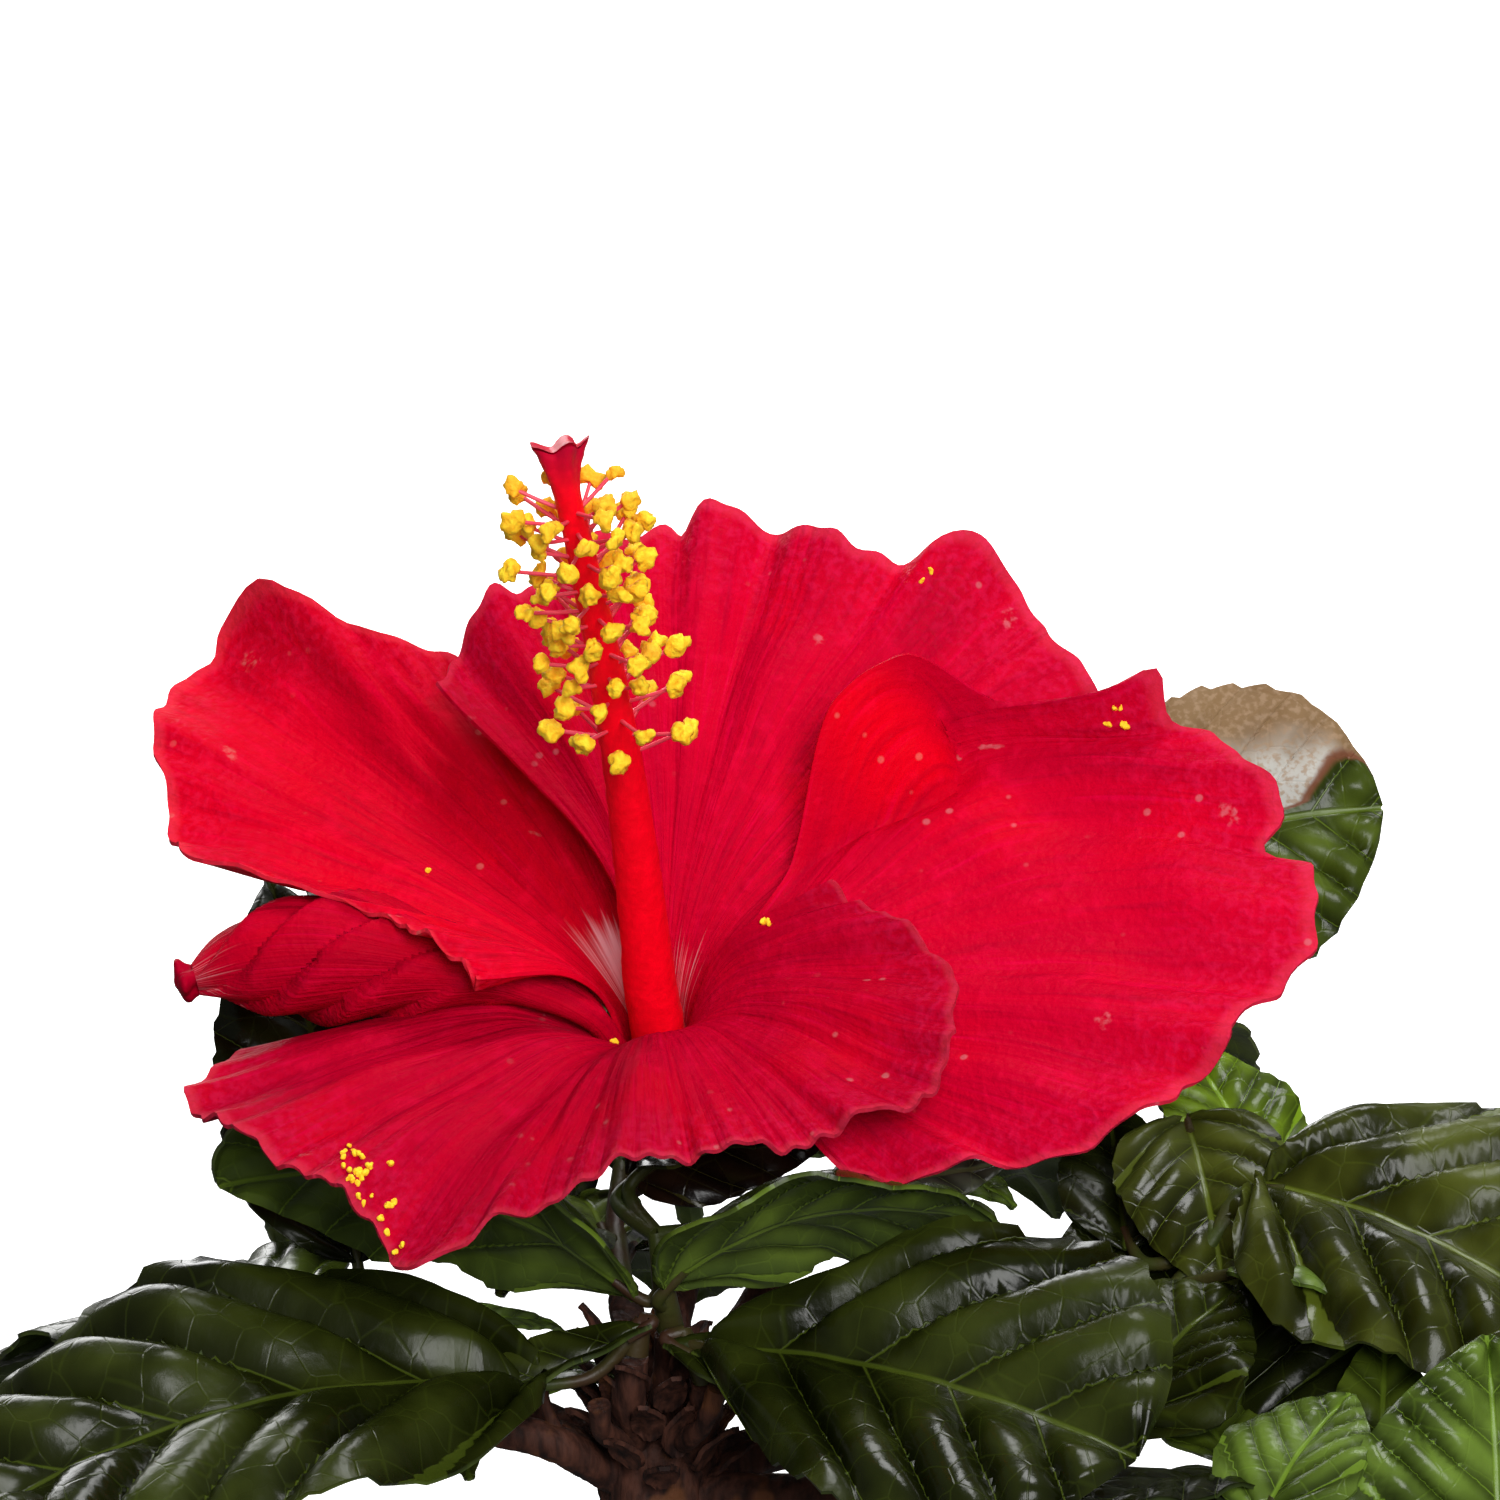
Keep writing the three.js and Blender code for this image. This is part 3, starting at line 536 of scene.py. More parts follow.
def flap(petal, place, side):
    """How far a point lies into the petal's folded corner, and how far beyond its crease."""
    fold = petal["fold"]
    spread = np.where(place < fold["at"], fold["inner"], fold["outer"])
    bell = hump(place - fold["at"], spread)
    beyond = 2 * side - 2 + fold["width"] * bell
    return bell, beyond, np.clip(beyond / (fold["width"] * bell + 1e-6), 0, 1)


def petal_margin(petal, span, place, side, seed):
    """How far out and how high the margin lies. Its lobes and nicks fade away inwards."""
    edge = place**6
    lobes = 1 + LOBE_SHARE * rays(span, side, (9, 14, 23), seed) * edge
    reach = along(petal["reach"], side) * lobes
    tip = along(petal["tip"], side)
    for at, width, rise, further in petal["nicks"]:
        nick = edge**2.5 * hump(side - at, width)
        tip = tip + rise * nick
        reach = reach + further * nick
    return reach, tip


def petal_relief(petal, span, place, side, seed):
    """How far ruffles, rays and the frilled margin stand out from the plain fan."""
    ruffle = petal["ruffle"] * place**4 * np.sin(2 * pi * petal["waves"] * side + petal["phase"])
    ray = RAY_HEIGHT * fade(0.15, 0.6, place) * rays(span, side, (8, 13, 21), seed + 40)
    frill = FRILL_HEIGHT * place**9 * rays(span, side, (12, 19), seed + 60)
    return ruffle + ray + frill


# %% Petal surface
def petal_points(petal, place, side, seed):
    """Points of a petal: place from the claw to the margin, side from 0 to 1 across the fan."""
    across = 2 * side - 1
    span = (petal["to"] - petal["from"]) / 100
    reach, tip = petal_margin(petal, span, place, side, seed)
    back = 1 - place
    weights = (back**3, 3 * place * back**2, 3 * place**2 * back, place**3)
    reaches = (CLAW_RADIUS, CLAW_RADIUS + 0.5, 0.45 * reach, reach)
    heights = (-CLAW_DEPTH, petal["shoulder"], 0.5 * petal["shoulder"] + 0.35 * tip, tip)
    out = sum(w * value for w, value in zip(weights, reaches))
    height = sum(w * value for w, value in zip(weights, heights))
    claw_angle = petal["claw"] + CLAW_HALF_ANGLE * across
    fan_angle = petal["from"] + (petal["to"] - petal["from"]) * side
    opened = fade(*petal["opens"], place)
    angle = np.radians(claw_angle * (1 - opened) + fan_angle * opened)
    height += petal["lift"] * across * fade(0.02, 0.3, place)
    height += petal_relief(petal, span, place, side, seed)
    measure = np.stack([reach * np.radians(fan_angle), out, 0 * out], axis=-1)
    height += BILLOW["height"] * fade(0.3, 0.8, place) * ripple(measure, BILLOW["size"], seed)
    if "fold" in petal:
        fold = petal["fold"]
        bell, beyond, inside = flap(petal, place, side)
        height += fold["height"] * fade(0.48, 0.68, place) * (1 - fade(0.79, 0.9, place)) * inside**0.8
        height -= fold["groove"] * bell * hump(beyond, GROOVE_WIDTH)
        leaning = fade(0.3, 0.7, place) * (1 - fade(0.72, 1.02, place)) * fade(0, 0.7, across)
        angle += radians(fold["lean"]) * leaning
    return bloom_point(out, angle, height)


middle = petal_points(PETALS["petal_left"], np.array([1.0]), np.array([0.5]), 0)
print("middle of the left petal's margin, in millimetres:", middle.round(1))


# %% Petal mesh
def petal_shape(petal, seed):
    """A petal's closed sheet, with the named values that its finish reads."""
    columns = int(COLUMNS_PER_DEGREE * (petal["to"] - petal["from"])) + 20
    grid = np.linspace(0, 1, PETAL_ROWS + 1), np.linspace(1, 0, columns + 1)
    place, side = np.meshgrid(*grid, indexing="ij")
    points, faces = sheet(petal_points(petal, place, side, seed), PETAL_THICKNESS)
    span = (petal["to"] - petal["from"]) / 100
    pale = petal["pale"]
    glow = pale["strength"] * hump(side - pale["side"], pale["spread"])
    glow = glow * (1 - fade(0.5 * pale["to"], pale["to"], place))
    spots = [np.hypot(place - at, (side - turn) * span) for at, turn in petal["scuffs"]]
    scuff = sum(hump(away, SCUFF_SIZE) for away in spots)
    # Painted shade: the petal's own darkening factors, with painted light added on the folded ear.
    tone = np.array(petal["tone"]) + 0 * side[..., None]
    if "fold" in petal:
        bell, _, inside = flap(petal, place, side)
        tone = tone + (bell * fade(0, 0.2, inside))[..., None] * FLAP_PAINTED_LIGHT
    fan = np.stack([side * span, place, 0 * place + seed], axis=-1)
    shape = Shape()
    shape.add(points, faces, **both_faces(fan=fan, pale=glow, scuff=scuff, tone=tone))
    return shape


# %% [markdown]
# ## The petal's finish
#
# A hibiscus petal is velvet: saturated red with a faint sheen at a flat angle, fine darker rays
# that fork towards the margin, a paler flecked margin, and near-white streaks deep in the throat.
# The rays follow the fan's own measure, which the mesh carries as a named value. Small pale dots
# and scuffs show where the tissue is worn.


# %% Petal finish
def draw_petal(s):
    fan = s.read("fan", "Vector")
    place = s.node("ShaderNodeSeparateXYZ", inputs={0: fan}, output=1)
    wide = s.grain(s.stretch(fan, (26, 1.6, 5)), 1.0, detail=1.5)
    fine = s.grain(s.stretch(fan, (95, 5.0, 5)), 1.0, detail=2.5)
    mottle = s.grain(s.place(), 380, detail=3)
    cloud = s.grain(s.place(), 60, detail=2)
    colour = s.blend(wide.fade(0.3, 0.7), (0.5, 0.0, 0.016), (0.58, 0.0, 0.016))
    colour = s.blend(cloud.fade(0.5, 0.75, 0, 0.4), colour, (0.72, 0.0, 0.005))
    colour = s.blend(fine.fade(0.5, 0.75, 0, 0.38), colour, (0.27, 0.0, 0.014))
    colour = s.blend(fine.fade(0.26, 0.44, 0.5, 0), colour, (0.72, 0.0, 0.04))
    colour = s.blend(mottle.fade(0.52, 0.75, 0, 0.4), colour, (0.74, 0.002, 0.035))
    fleck = s.grain(s.place(), 1100, detail=2)
    margin = place.fade(0.8, 1.0) * fleck.fade(0.4, 0.7, 0.0, 0.5)
    colour = s.blend(margin, colour, (0.66, 0.008, 0.055))
    colour = s.blend(place.fade(0.98, 0.995, 0, 0.3), colour, (0.8, 0.05, 0.09))
    worn = (s.read("scuff") * fleck).fade(0.3, 0.5, 0, 0.45)
    dots = s.node("ShaderNodeTexVoronoi", inputs={"Vector": s.place(), "Scale": 300.0})
    worn = worn.math("MAXIMUM", dots.fade(0.08, 0.16, 0.5, 0) * cloud.fade(0.5, 0.6))
    colour = s.blend(worn, colour, (0.6, 0.16, 0.16))
    # Painted shade and light: the colour is scaled by the petal's darkening factors, lightened on the
    # folded ear.
    tone = s.read("tone", "Vector")
    colour = s.node("ShaderNodeVectorMath", {"operation": "MULTIPLY"}, {0: colour, 1: tone})
    streaks = s.grain(s.stretch(fan, (60, 1.2, 5)), 1.0, detail=2)
    pale = s.read("pale")
    glow = (pale * 1.8 - (1 - streaks) * 1.3).fade(0.0, 0.6) * 0.8
    colour = s.blend(glow, colour, (0.86, 0.5, 0.55))
    height = fine * 0.55 + mottle * 0.5 + fleck * 0.45 + wide * 0.3
    return {
        "Base Color": colour,
        "Roughness": mottle.fade(0.2, 0.8, 0.42, 0.6),
        "Normal": s.bump(height, 0.6, 0.0008),
    }


PETAL_SHEEN = {
    "Sheen Weight": 0.02, "Sheen Roughness": 0.3, "Sheen Tint": (1, 0.0, 0.1, 1),
    "Specular IOR Level": 0.015,
}
petal_finish = finish_of("velvet_red", draw_petal, PETAL_SHEEN)

# %% Petals in place
for seed, (name, petal) in enumerate(PETALS.items()):
    show("red_" + name, petal_shape(petal, 100 * seed).mesh(name), petal_finish, "petal", name)

# %% [markdown]
# ## The furled petal
#
# The fifth petal never opened: a roll that lies over the front petal. It is a limb whose section
# is pleated lengthwise, so that the rolled layers show as ridges that twist along it. A real
# sheet could be rolled up instead, but its hidden layers would cut through each other for nothing.
# A small curled knob ends it.

# %% Furled petal
FURLED_STEPS, FURLED_SIDES = 90, 72
PLEATS, PLEAT_DEPTH, PLEAT_TWIST = 5, 0.32, 1.4
# Painted shade: the furled roll and its knob have their red darkened, like the front petal they lie
# over.
FURLED_PAINTED_SHADE_AND_HUE, NUB_PAINTED_SHADE_AND_HUE = (0.78, 1, 0.9), (0.6, 1, 0.9)
FURLED_FAN = 900                       # keeps its grain apart from the other petals'
NUB = {"reach": 8, "radii": [1.5, 1.7, 2.1, 1.9, 0.3], "depth": 0.3, "sides": 24, "pale": 0.2}
furled_place = np.linspace(0, 1, FURLED_STEPS + 1)
furled_centres = bloom_point(
    along([3.7, 7, 13, 21, 32, 42, 49.3], furled_place),
    np.radians(along([208, 197, 182, 173, 170, 171, 174], furled_place)),
    along([-13, -1.5, 1.8, 2.1, 2.4, 2.2, 2], furled_place),
)
FLAT_CLAW = 3.6                        # how many times its half thickness the claw is wider
FURLED_SIDE = RIGHT * -sin(radians(205)) + BACK * cos(radians(205))
furled_radii = along([0.6, 0.8, 2.1, 4.5, 6.8, 5.5, 1.7], furled_place)


def pleated(points):
    """Rolled layers: each ridge rises slowly and drops at its edge. The claw is a flat strip."""
    sides = points.shape[1]
    turn = np.arange(sides)[None] / sides + PLEAT_TWIST * furled_place[:, None]
    layer = (turn * PLEATS) % 1
    pleats = PLEAT_DEPTH * (layer - 0.5) * (1 - fade(0.86, 1, layer))
    pleats = pleats * fade(0.3, 0.6, furled_place)[:, None]
    outward = unit(points - furled_centres[:, None])
    sideways = (outward @ FURLED_SIDE) ** 2
    return pleats + FLAT_CLAW * sideways * (1 - fade(0.1, 0.42, furled_place))[:, None]


def nub_curl(points):
    """The curled tip of the roll: a few folds round a small knob."""
    turn = np.linspace(0, 2 * pi, points.shape[1], endpoint=False)[None]
    return NUB["depth"] * np.cos(3 * turn + np.linspace(0, 2, points.shape[0])[:, None])


points, faces = limb(furled_centres, furled_radii, FURLED_SIDES, pleated)
around, lengthwise = np.meshgrid(np.linspace(0, 1.2, FURLED_SIDES), furled_place)
fan = np.stack([around, 0.3 + 0.6 * lengthwise, 0 * around + FURLED_FAN], axis=-1)
pale = 0.4 * fade(0.65, 1, lengthwise).ravel()
tone = np.tile(FURLED_PAINTED_SHADE_AND_HUE, (len(points), 1))
furled = Shape()
furled.add(points, faces, fan=fan.reshape(-1, 3), pale=pale, tone=tone)

nub_place = np.linspace(0, 1, 16)
nub_step = (furled_centres[-1] - furled_centres[-2]) * NUB["reach"]
nub_centres = furled_centres[-1] + nub_step * nub_place[:, None]
points, faces = limb(nub_centres, along(NUB["radii"], nub_place), NUB["sides"], nub_curl)
fan = np.tile([0.5, 0.6, FURLED_FAN], (len(points), 1))
pale = np.full(len(points), NUB["pale"])
tone = np.tile(NUB_PAINTED_SHADE_AND_HUE, (len(points), 1))
furled.add(points, faces, fan=fan, pale=pale, tone=tone)
show("red_petal_furled", furled.mesh("petal_furled"), petal_finish, "petal", "petal_furled")

# %% [markdown]
# ## Staminal column
#
# A hibiscus carries its stamens on a tube round the style. The tube tapers and bows a little, and
# flares into a hollow stigma with a wavy rim. The threads and pollen heads repeat, so Geometry
# Nodes make them from a bare mesh of points and edges that only says where each thread runs.

# %% Column
COLUMN = {"base": -12.5, "top": 71.8, "base_radius": 3.1, "top_radius": 1.35, "bow": 1.2}
STIGMA = {"length": 6.5, "radius": 2.8, "lobes": 5, "depth": 0.16, "bend": 1.9, "wave": 0.55,
          "hollow": {0.95: 0.75, 0.85: 0.3}, "sides": 40}
STAMENS = {"count": 88, "from": 34, "to": 68, "reach": 7.8, "narrow": 0.15}


def column_point(height):
    """The middle of the column at a height along the bloom's axis."""
    share = np.clip(np.asarray(height, float) / COLUMN["top"], 0, 1)
    return bloom_point(COLUMN["bow"] * np.sin(pi * share), 0 * share, height)


def column_shape():
    place = np.linspace(0, 1, 61)
    heights = COLUMN["base"] + (COLUMN["top"] - STIGMA["length"] - COLUMN["base"]) * place
    radii = COLUMN["base_radius"] + (COLUMN["top_radius"] - COLUMN["base_radius"]) * place
    shape = Shape()
    shape.add(*limb(column_point(heights), radii, 28, lambda points: 0.06 * ripple(points, 1.5)))
    rise = np.concatenate([np.linspace(0, 1, 24), list(STIGMA["hollow"])])
    stigma_heights = COLUMN["top"] - STIGMA["length"] * (1 - rise)
    flare = COLUMN["top_radius"] * 1.02 + (STIGMA["radius"] - COLUMN["top_radius"]) * rise**2.4
    flare[-2:] = STIGMA["radius"] * np.array(list(STIGMA["hollow"].values()))
    crests = np.cos(STIGMA["lobes"] * np.linspace(0, 2 * pi, STIGMA["sides"], endpoint=False))

    def lobed(points):
        wave = crests[None] * STIGMA["depth"]
        return wave * (rise**2)[:, None] + 0.08 * ripple(points, 0.9) * rise[:, None]

    centres = column_point(stigma_heights) + BACK * STIGMA["bend"] * (rise**2)[:, None]
    points, faces = limb(centres, flare, STIGMA["sides"], lobed)
    lift = STIGMA["wave"] * np.outer(rise**6, crests).ravel()
    shape.add(points + lift[:, None] * AXIS, faces)
    return shape


def draw_column(s):
    where = s.place()
    mottle = s.grain(where, 900, detail=3)
    height = s.node("ShaderNodeSeparateXYZ", inputs={0: where}, output=2)
    colour = s.blend(mottle.fade(0.35, 0.7), (0.88, 0.0, 0.01), (1.0, 0.0, 0.013))
    colour = s.blend(height.fade(0.152, 0.159, 0, 0.8), colour, (0.42, 0.0, 0.03))
    return {"Base Color": colour, "Normal": s.bump(mottle, 0.4, 0.0003)}


column_finish = finish_of("waxy_red", draw_column, {"Roughness": 0.45, "Specular IOR Level": 0.15})
show("red_column", column_shape().mesh("column"), column_finish, "column", "staminal_column")


# %% Growing things on points
def grow(name, base, draw, sizes, finish):
    """Runs a Geometry Nodes tree on a bare mesh and gives back a plain mesh."""
    tree = bpy.data.node_groups.new(name, "GeometryNodeTree")
    tree.interface.new_socket("Base", in_out="INPUT", socket_type="NodeSocketGeometry")
    for label in sizes:
        tree.interface.new_socket(label, in_out="INPUT", socket_type="NodeSocketFloat")
    tree.interface.new_socket("Grown", in_out="OUTPUT", socket_type="NodeSocketGeometry")
    source = tree.nodes.new("NodeGroupInput")
    inputs = {socket.name: Value(tree, socket) for socket in source.outputs if socket.name}
    sketch = Sketch(tree)
    grown = sketch.node("GeometryNodeSetShadeSmooth", inputs={0: draw(sketch, inputs)})
    grown = sketch.node("GeometryNodeSetMaterial", inputs={"Geometry": grown, "Material": finish})
    feed(tree, tree.nodes.new("NodeGroupOutput").inputs[0], grown)
    carrier = bpy.data.objects.new(name, base)
    scene.collection.objects.link(carrier)
    modifier = carrier.modifiers.new(name, "NODES")
    modifier.node_group = tree
    for item in tree.interface.items_tree:
        if item.name in sizes:
            modifier[item.identifier] = float(sizes[item.name])
    evaluated = carrier.evaluated_get(bpy.context.evaluated_depsgraph_get())
    mesh = bpy.data.meshes.new_from_object(evaluated)
    bpy.data.objects.remove(carrier)
    return mesh


def bare_mesh(name, points, edges=()):
    """Points and edges for a tree to grow things on."""
    mesh = bpy.data.meshes.new(name)
    mesh.from_pydata((points * MM).tolist(), list(edges), [])
    return mesh


# %% Where the stamens go
GOLDEN_ANGLE = 137.5


def stamen_lines():
    """Each thread's root, knee and end, dealt out round the column by the golden angle."""
    points = []
    for i in range(STAMENS["count"]):
        share = (i + 0.5) / STAMENS["count"]
        height = STAMENS["from"] + (STAMENS["to"] - STAMENS["from"]) * share**0.8
        turn = radians(GOLDEN_ANGLE * i)
        narrowing = 1 - STAMENS["narrow"] * fade(0.5, 1, share)
        reach = STAMENS["reach"] * narrowing * (0.6 + 0.5 * scatter(i + 31))
        outward = RIGHT * cos(turn) + BACK * sin(turn)
        root = column_point(height - 3)
        knee = column_point(height - 1.6) + outward * reach * 0.5
        points += [root, knee, column_point(height) + outward * reach]
    return np.array(points)


stamen_points = stamen_lines()
thread_edges = [(3 * i + k, 3 * i + k + 1) for i in range(STAMENS["count"]) for k in (0, 1)]
threads_base = bare_mesh("threads", stamen_points, thread_edges)
heads_base = bare_mesh("heads", stamen_points[2::3])
print("threads:", len(thread_edges) // 2)


# %% Threads and pollen heads
def draw_threads(s, sizes):
    curve = s.node("GeometryNodeMeshToCurve", inputs={0: sizes["Base"]})
    smooth = s.node("GeometryNodeCurveSplineType", {"spline_type": "CATMULL_ROM"}, {0: curve})
    round_six = {"Resolution": 6, "Radius": sizes["Radius"]}
    ring = s.node("GeometryNodeCurvePrimitiveCircle", inputs=round_six)
    swept = {"Curve": smooth, "Profile Curve": ring, "Fill Caps": True}
    return s.node("GeometryNodeCurveToMesh", inputs=swept)


def draw_grains(s, sizes):
    """A lumpy grain on each point, turned and sized by a seeded chance and dented by noise."""
    def chance(low, high):
        ends = {0: low, 1: high, "Seed": sizes["Seed"]}
        return s.node("FunctionNodeRandomValue", {"data_type": "FLOAT_VECTOR"}, ends)

    ball = s.node("GeometryNodeMeshIcoSphere", inputs={"Radius": sizes["Radius"], "Subdivisions": 3})
    turn = chance((0, 0, 0), (6.3, 6.3, 6.3))
    stretch = chance((0.7, 0.6, 0.6), (1.35, 1.1, 1.1))
    put = {"Points": sizes["Base"], "Instance": ball, "Rotation": turn, "Scale": stretch}
    copies = s.node("GeometryNodeInstanceOnPoints", inputs=put)
    grains = s.node("GeometryNodeRealizeInstances", inputs={0: copies})
    lumps = s.node("ShaderNodeTexNoise", inputs={"Scale": sizes["Lumps"], "Detail": 1.0})
    offset = s.scale(s.node("GeometryNodeInputNormal"), (lumps - 0.5) * sizes["Depth"])
    return s.node("GeometryNodeSetPosition", inputs={"Geometry": grains, "Offset": offset})


def draw_thread(s):
    return {"Base Color": s.blend(s.grain(s.place(), 400), (0.75, 0.1, 0.16), (0.8, 0.02, 0.05))}


def draw_pollen(s):
    where = s.place()
    mottle = s.grain(where, 1500, detail=3)
    patch = s.grain(where, 160)
    colour = s.blend(mottle.fade(0.35, 0.7), (1.0, 0.52, 0.005), (1.0, 0.72, 0.02))
    colour = s.blend(patch.fade(0.62, 0.75, 0, 0.7), colour, (0.75, 0.3, 0.01))
    height = s.node("ShaderNodeSeparateXYZ", inputs={0: where}, output=2)
    colour = s.blend(height.fade(0.148, 0.155, 0, 0.6), colour, (0.9, 0.36, 0.006))
    return {"Base Color": colour, "Normal": s.bump(mottle, 0.8, 0.0004)}


THREAD_SIZES = {"Radius": 0.22 * MM}
HEAD_SIZES = {"Radius": 1.08 * MM, "Seed": 4, "Lumps": 1000, "Depth": 2.1 * MM}
thread_finish = finish_of("pink_thread", draw_thread, {"Roughness": 0.5})
pollen_finish = finish_of("yellow_pollen", draw_pollen, {"Roughness": 0.8})
threads = grow("threads", threads_base, draw_threads, THREAD_SIZES, thread_finish)
show("stamen_threads", threads, thread_finish, "column")
heads = grow("heads", heads_base, draw_grains, HEAD_SIZES, pollen_finish)
show("pollen_heads", heads, pollen_finish, "column")

# %% [markdown]
# ## Fallen pollen
#
# Grains drop from the heads and stay on the petals, mostly near the tip of the front one. The same
# tree makes them, smaller, on points that lie on the petals' own surfaces.

# %% Fallen pollen
FALLEN = {                      # place, side, number of grains and how widely they lie
    "petal_left": [(0.605, 0.44, 1, 0)],
    "petal_back": [(0.95, 0.312, 2, 0.012)],
    "petal_right": [(0.955, 0.944, 5, 0.014)],
    "petal_front": [(0.97, 0.265, 30, 0.055), (0.72, 0.985, 3, 0.012), (0.27, 0.23, 1, 0)],
}
FALLEN_SIZES = {"Radius": 0.36 * MM, "Seed": 7, "Lumps": 1500, "Depth": 0.8 * MM}
GRAIN_LIFT = 0.4
LAST_PLACE, LAST_SIDE = 0.985, 0.99

fallen = []
for seed, name in enumerate(PETALS):
    for place, side, count, spread in FALLEN[name]:
        chances = np.array([scatter(i) for i in range(3 * count)]).reshape(count, 3)
        places = np.minimum(place + spread * (chances[:, 0] + chances[:, 2] - 1), LAST_PLACE)
        sides = np.minimum(side + spread * (chances[:, 1] + chances[:, 2] - 1), LAST_SIDE)
        fallen.append(petal_points(PETALS[name], places, sides, 100 * seed) + GRAIN_LIFT * AXIS)
fallen_base = bare_mesh("fallen", np.concatenate(fallen))
fallen_pollen = grow("fallen_pollen", fallen_base, draw_grains, FALLEN_SIZES, pollen_finish)
show("fallen_pollen", fallen_pollen, pollen_finish, "column")

# %% [markdown]
# ## Leaves
#
# A blade is worked out from where its foot is, where it heads, how it droops, folds and curls. The
# fine mesh adds the quilting between its side veins, a toothed margin and ripples. The side veins
# are lines where one number, the vein phase, is whole: the same number shapes the quilting and
# later draws the veins, so the two always agree. Copies of one leaf would be lighter, but no two
# leaves of this plant lie alike. Angles are in degrees and lengths in millimetres.

# %% Leaf habit
BLADE_ROWS, BLADE_COLUMNS = 60, 36    # the most steps along a blade and across it
ROWS_PER_MM = 1.3
BLADE_FULLNESS = 1.5
BLADE_NARROWEST = 0.6
MARGIN_WAVE = {"height": 0.03, "count": 2.5, "shift": 1.3}
PUCKERS = {"fine": (0.35, 5.0), "broad": (0.9, 15.0)}    # height and size in millimetres
VEINS_TO_A_SIDE = 5.2
VEIN_LEAN = {"left": 0.8, "right": 0.95}
VEIN_FAN_STEP = 0.42
TOOTH_DEPTH = 0.05
SPRAY = {"shortest": 0.85, "spread": 0.3, "slim": 0.66, "roll": 24,
         "tints": ("deep", "olive", "deep", "fresh")}
YOUNG = {"count": 4, "length": 17, "rise": 22, "droop": 50, "slim": 0.62,
         "tints": ("fresh", "deep", "meadow")}
CUPPED = {"fold": 15, "curl": -20}
HABIT = {"broadest": 0.37, "droop": 42, "roll": 0, "fold": 12, "curl": -15, "tint": "deep",
         "quilt": 0.035, "blade": 0.5, "teeth": 11, "blotch": 0}
TINTS = {                        # plain base colours, one for each leaf
    "deep": (0.019, 0.025, 0.003),
    # Painted shade: the next tint is the deep green darkened to about half, for leaves deep in the
    # crown, where less light falls.
    "shaded_deep": (0.01, 0.013, 0.002),
    "fresh": (0.045, 0.066, 0.006),
    "meadow": (0.075, 0.12, 0.016),
    "ash": (0.1, 0.11, 0.075),
    "brown": (0.02, 0.008, 0.004),
    "lime": (0.13, 0.21, 0.01),
    "olive": (0.04, 0.048, 0.006),
}
print("leaf tints:", ", ".join(TINTS))


# %% Blade frames and outlines
def blade_width(place, broadest):
    """The share of its full width that a blade has at places along it."""
    rise, fall = BLADE_FULLNESS * broadest, BLADE_FULLNESS * (1 - broadest)
    return place**rise * (1 - place) ** fall / (broadest**rise * (1 - broadest) ** fall)


def blade_frame(leaf, place):
    """Forward, right and up at places along the midrib."""
    rise = leaf["rise"] - leaf["droop"] * np.asarray(place, float)
    forward = direction(leaf["heading"], rise)
    up = direction(leaf["heading"], rise + 90)
    right = np.cross(forward, up)
    roll = radians(leaf["roll"])
    return forward, right * cos(roll) - up * sin(roll), up * cos(roll) + right * sin(roll)


def vein_phase(x, y, leaf, left):
    """Whole numbers along the side veins of a point x to the side of the midrib and y up it."""
    lean = np.where(left, VEIN_LEAN["left"], VEIN_LEAN["right"])
    spacing = leaf["length"] / VEINS_TO_A_SIDE
    rise = y - lean * x - 0.5 * lean * x**2 / leaf["width"]
    fan_start = np.arctan2(1, lean)
    turn = np.arctan2(x, np.maximum(y, 1e-3))
    fan = -(turn - fan_start) / VEIN_FAN_STEP
    return np.where(rise > 0, rise / spacing, np.minimum(fan, 0))


near_foot = blade_width(0.1, HABIT["broadest"])
print("share of its full width that a blade has near its foot:", round(near_foot, 2))


# %% Blade surface
def midrib(leaf, rows):
    """Points along a blade's middle, each a step on from the one before."""
    place = np.linspace(0, 1, rows + 1)
    forward = blade_frame(leaf, (place[1:] + place[:-1]) / 2)[0]
    steps = np.concatenate([[[0, 0, 0]], np.cumsum(forward * leaf["length"] / rows, axis=0)])
    return np.array(leaf["foot"]) + steps


def blade_relief(leaf, place, across, breadth, phase, flat):
    """How far the wavy margin, the quilting and the puckers stand out from a plain blade."""
    share = np.abs(across)
    swell = 2 * pi * MARGIN_WAVE["count"] * place + np.where(across < 0, MARGIN_WAVE["shift"], 0)
    wave = MARGIN_WAVE["height"] * leaf["width"] * share**2 * np.sin(swell) * breadth
    inner = fade(0.02, 0.3, share) * (1 - 0.7 * fade(0.7, 1, share)) * fade(0, 0.12, breadth)
    quilting = leaf["quilt"] * leaf["width"] * (1 - np.exp(-4 * np.sin(pi * phase) ** 2)) * inner
    (fine, fine_size), (broad, broad_size) = PUCKERS.values()
    pucker = fine * ripple(flat, fine_size) * fade(0, 0.3, breadth)
    return wave + quilting + pucker + broad * ripple(flat, broad_size) * share * breadth


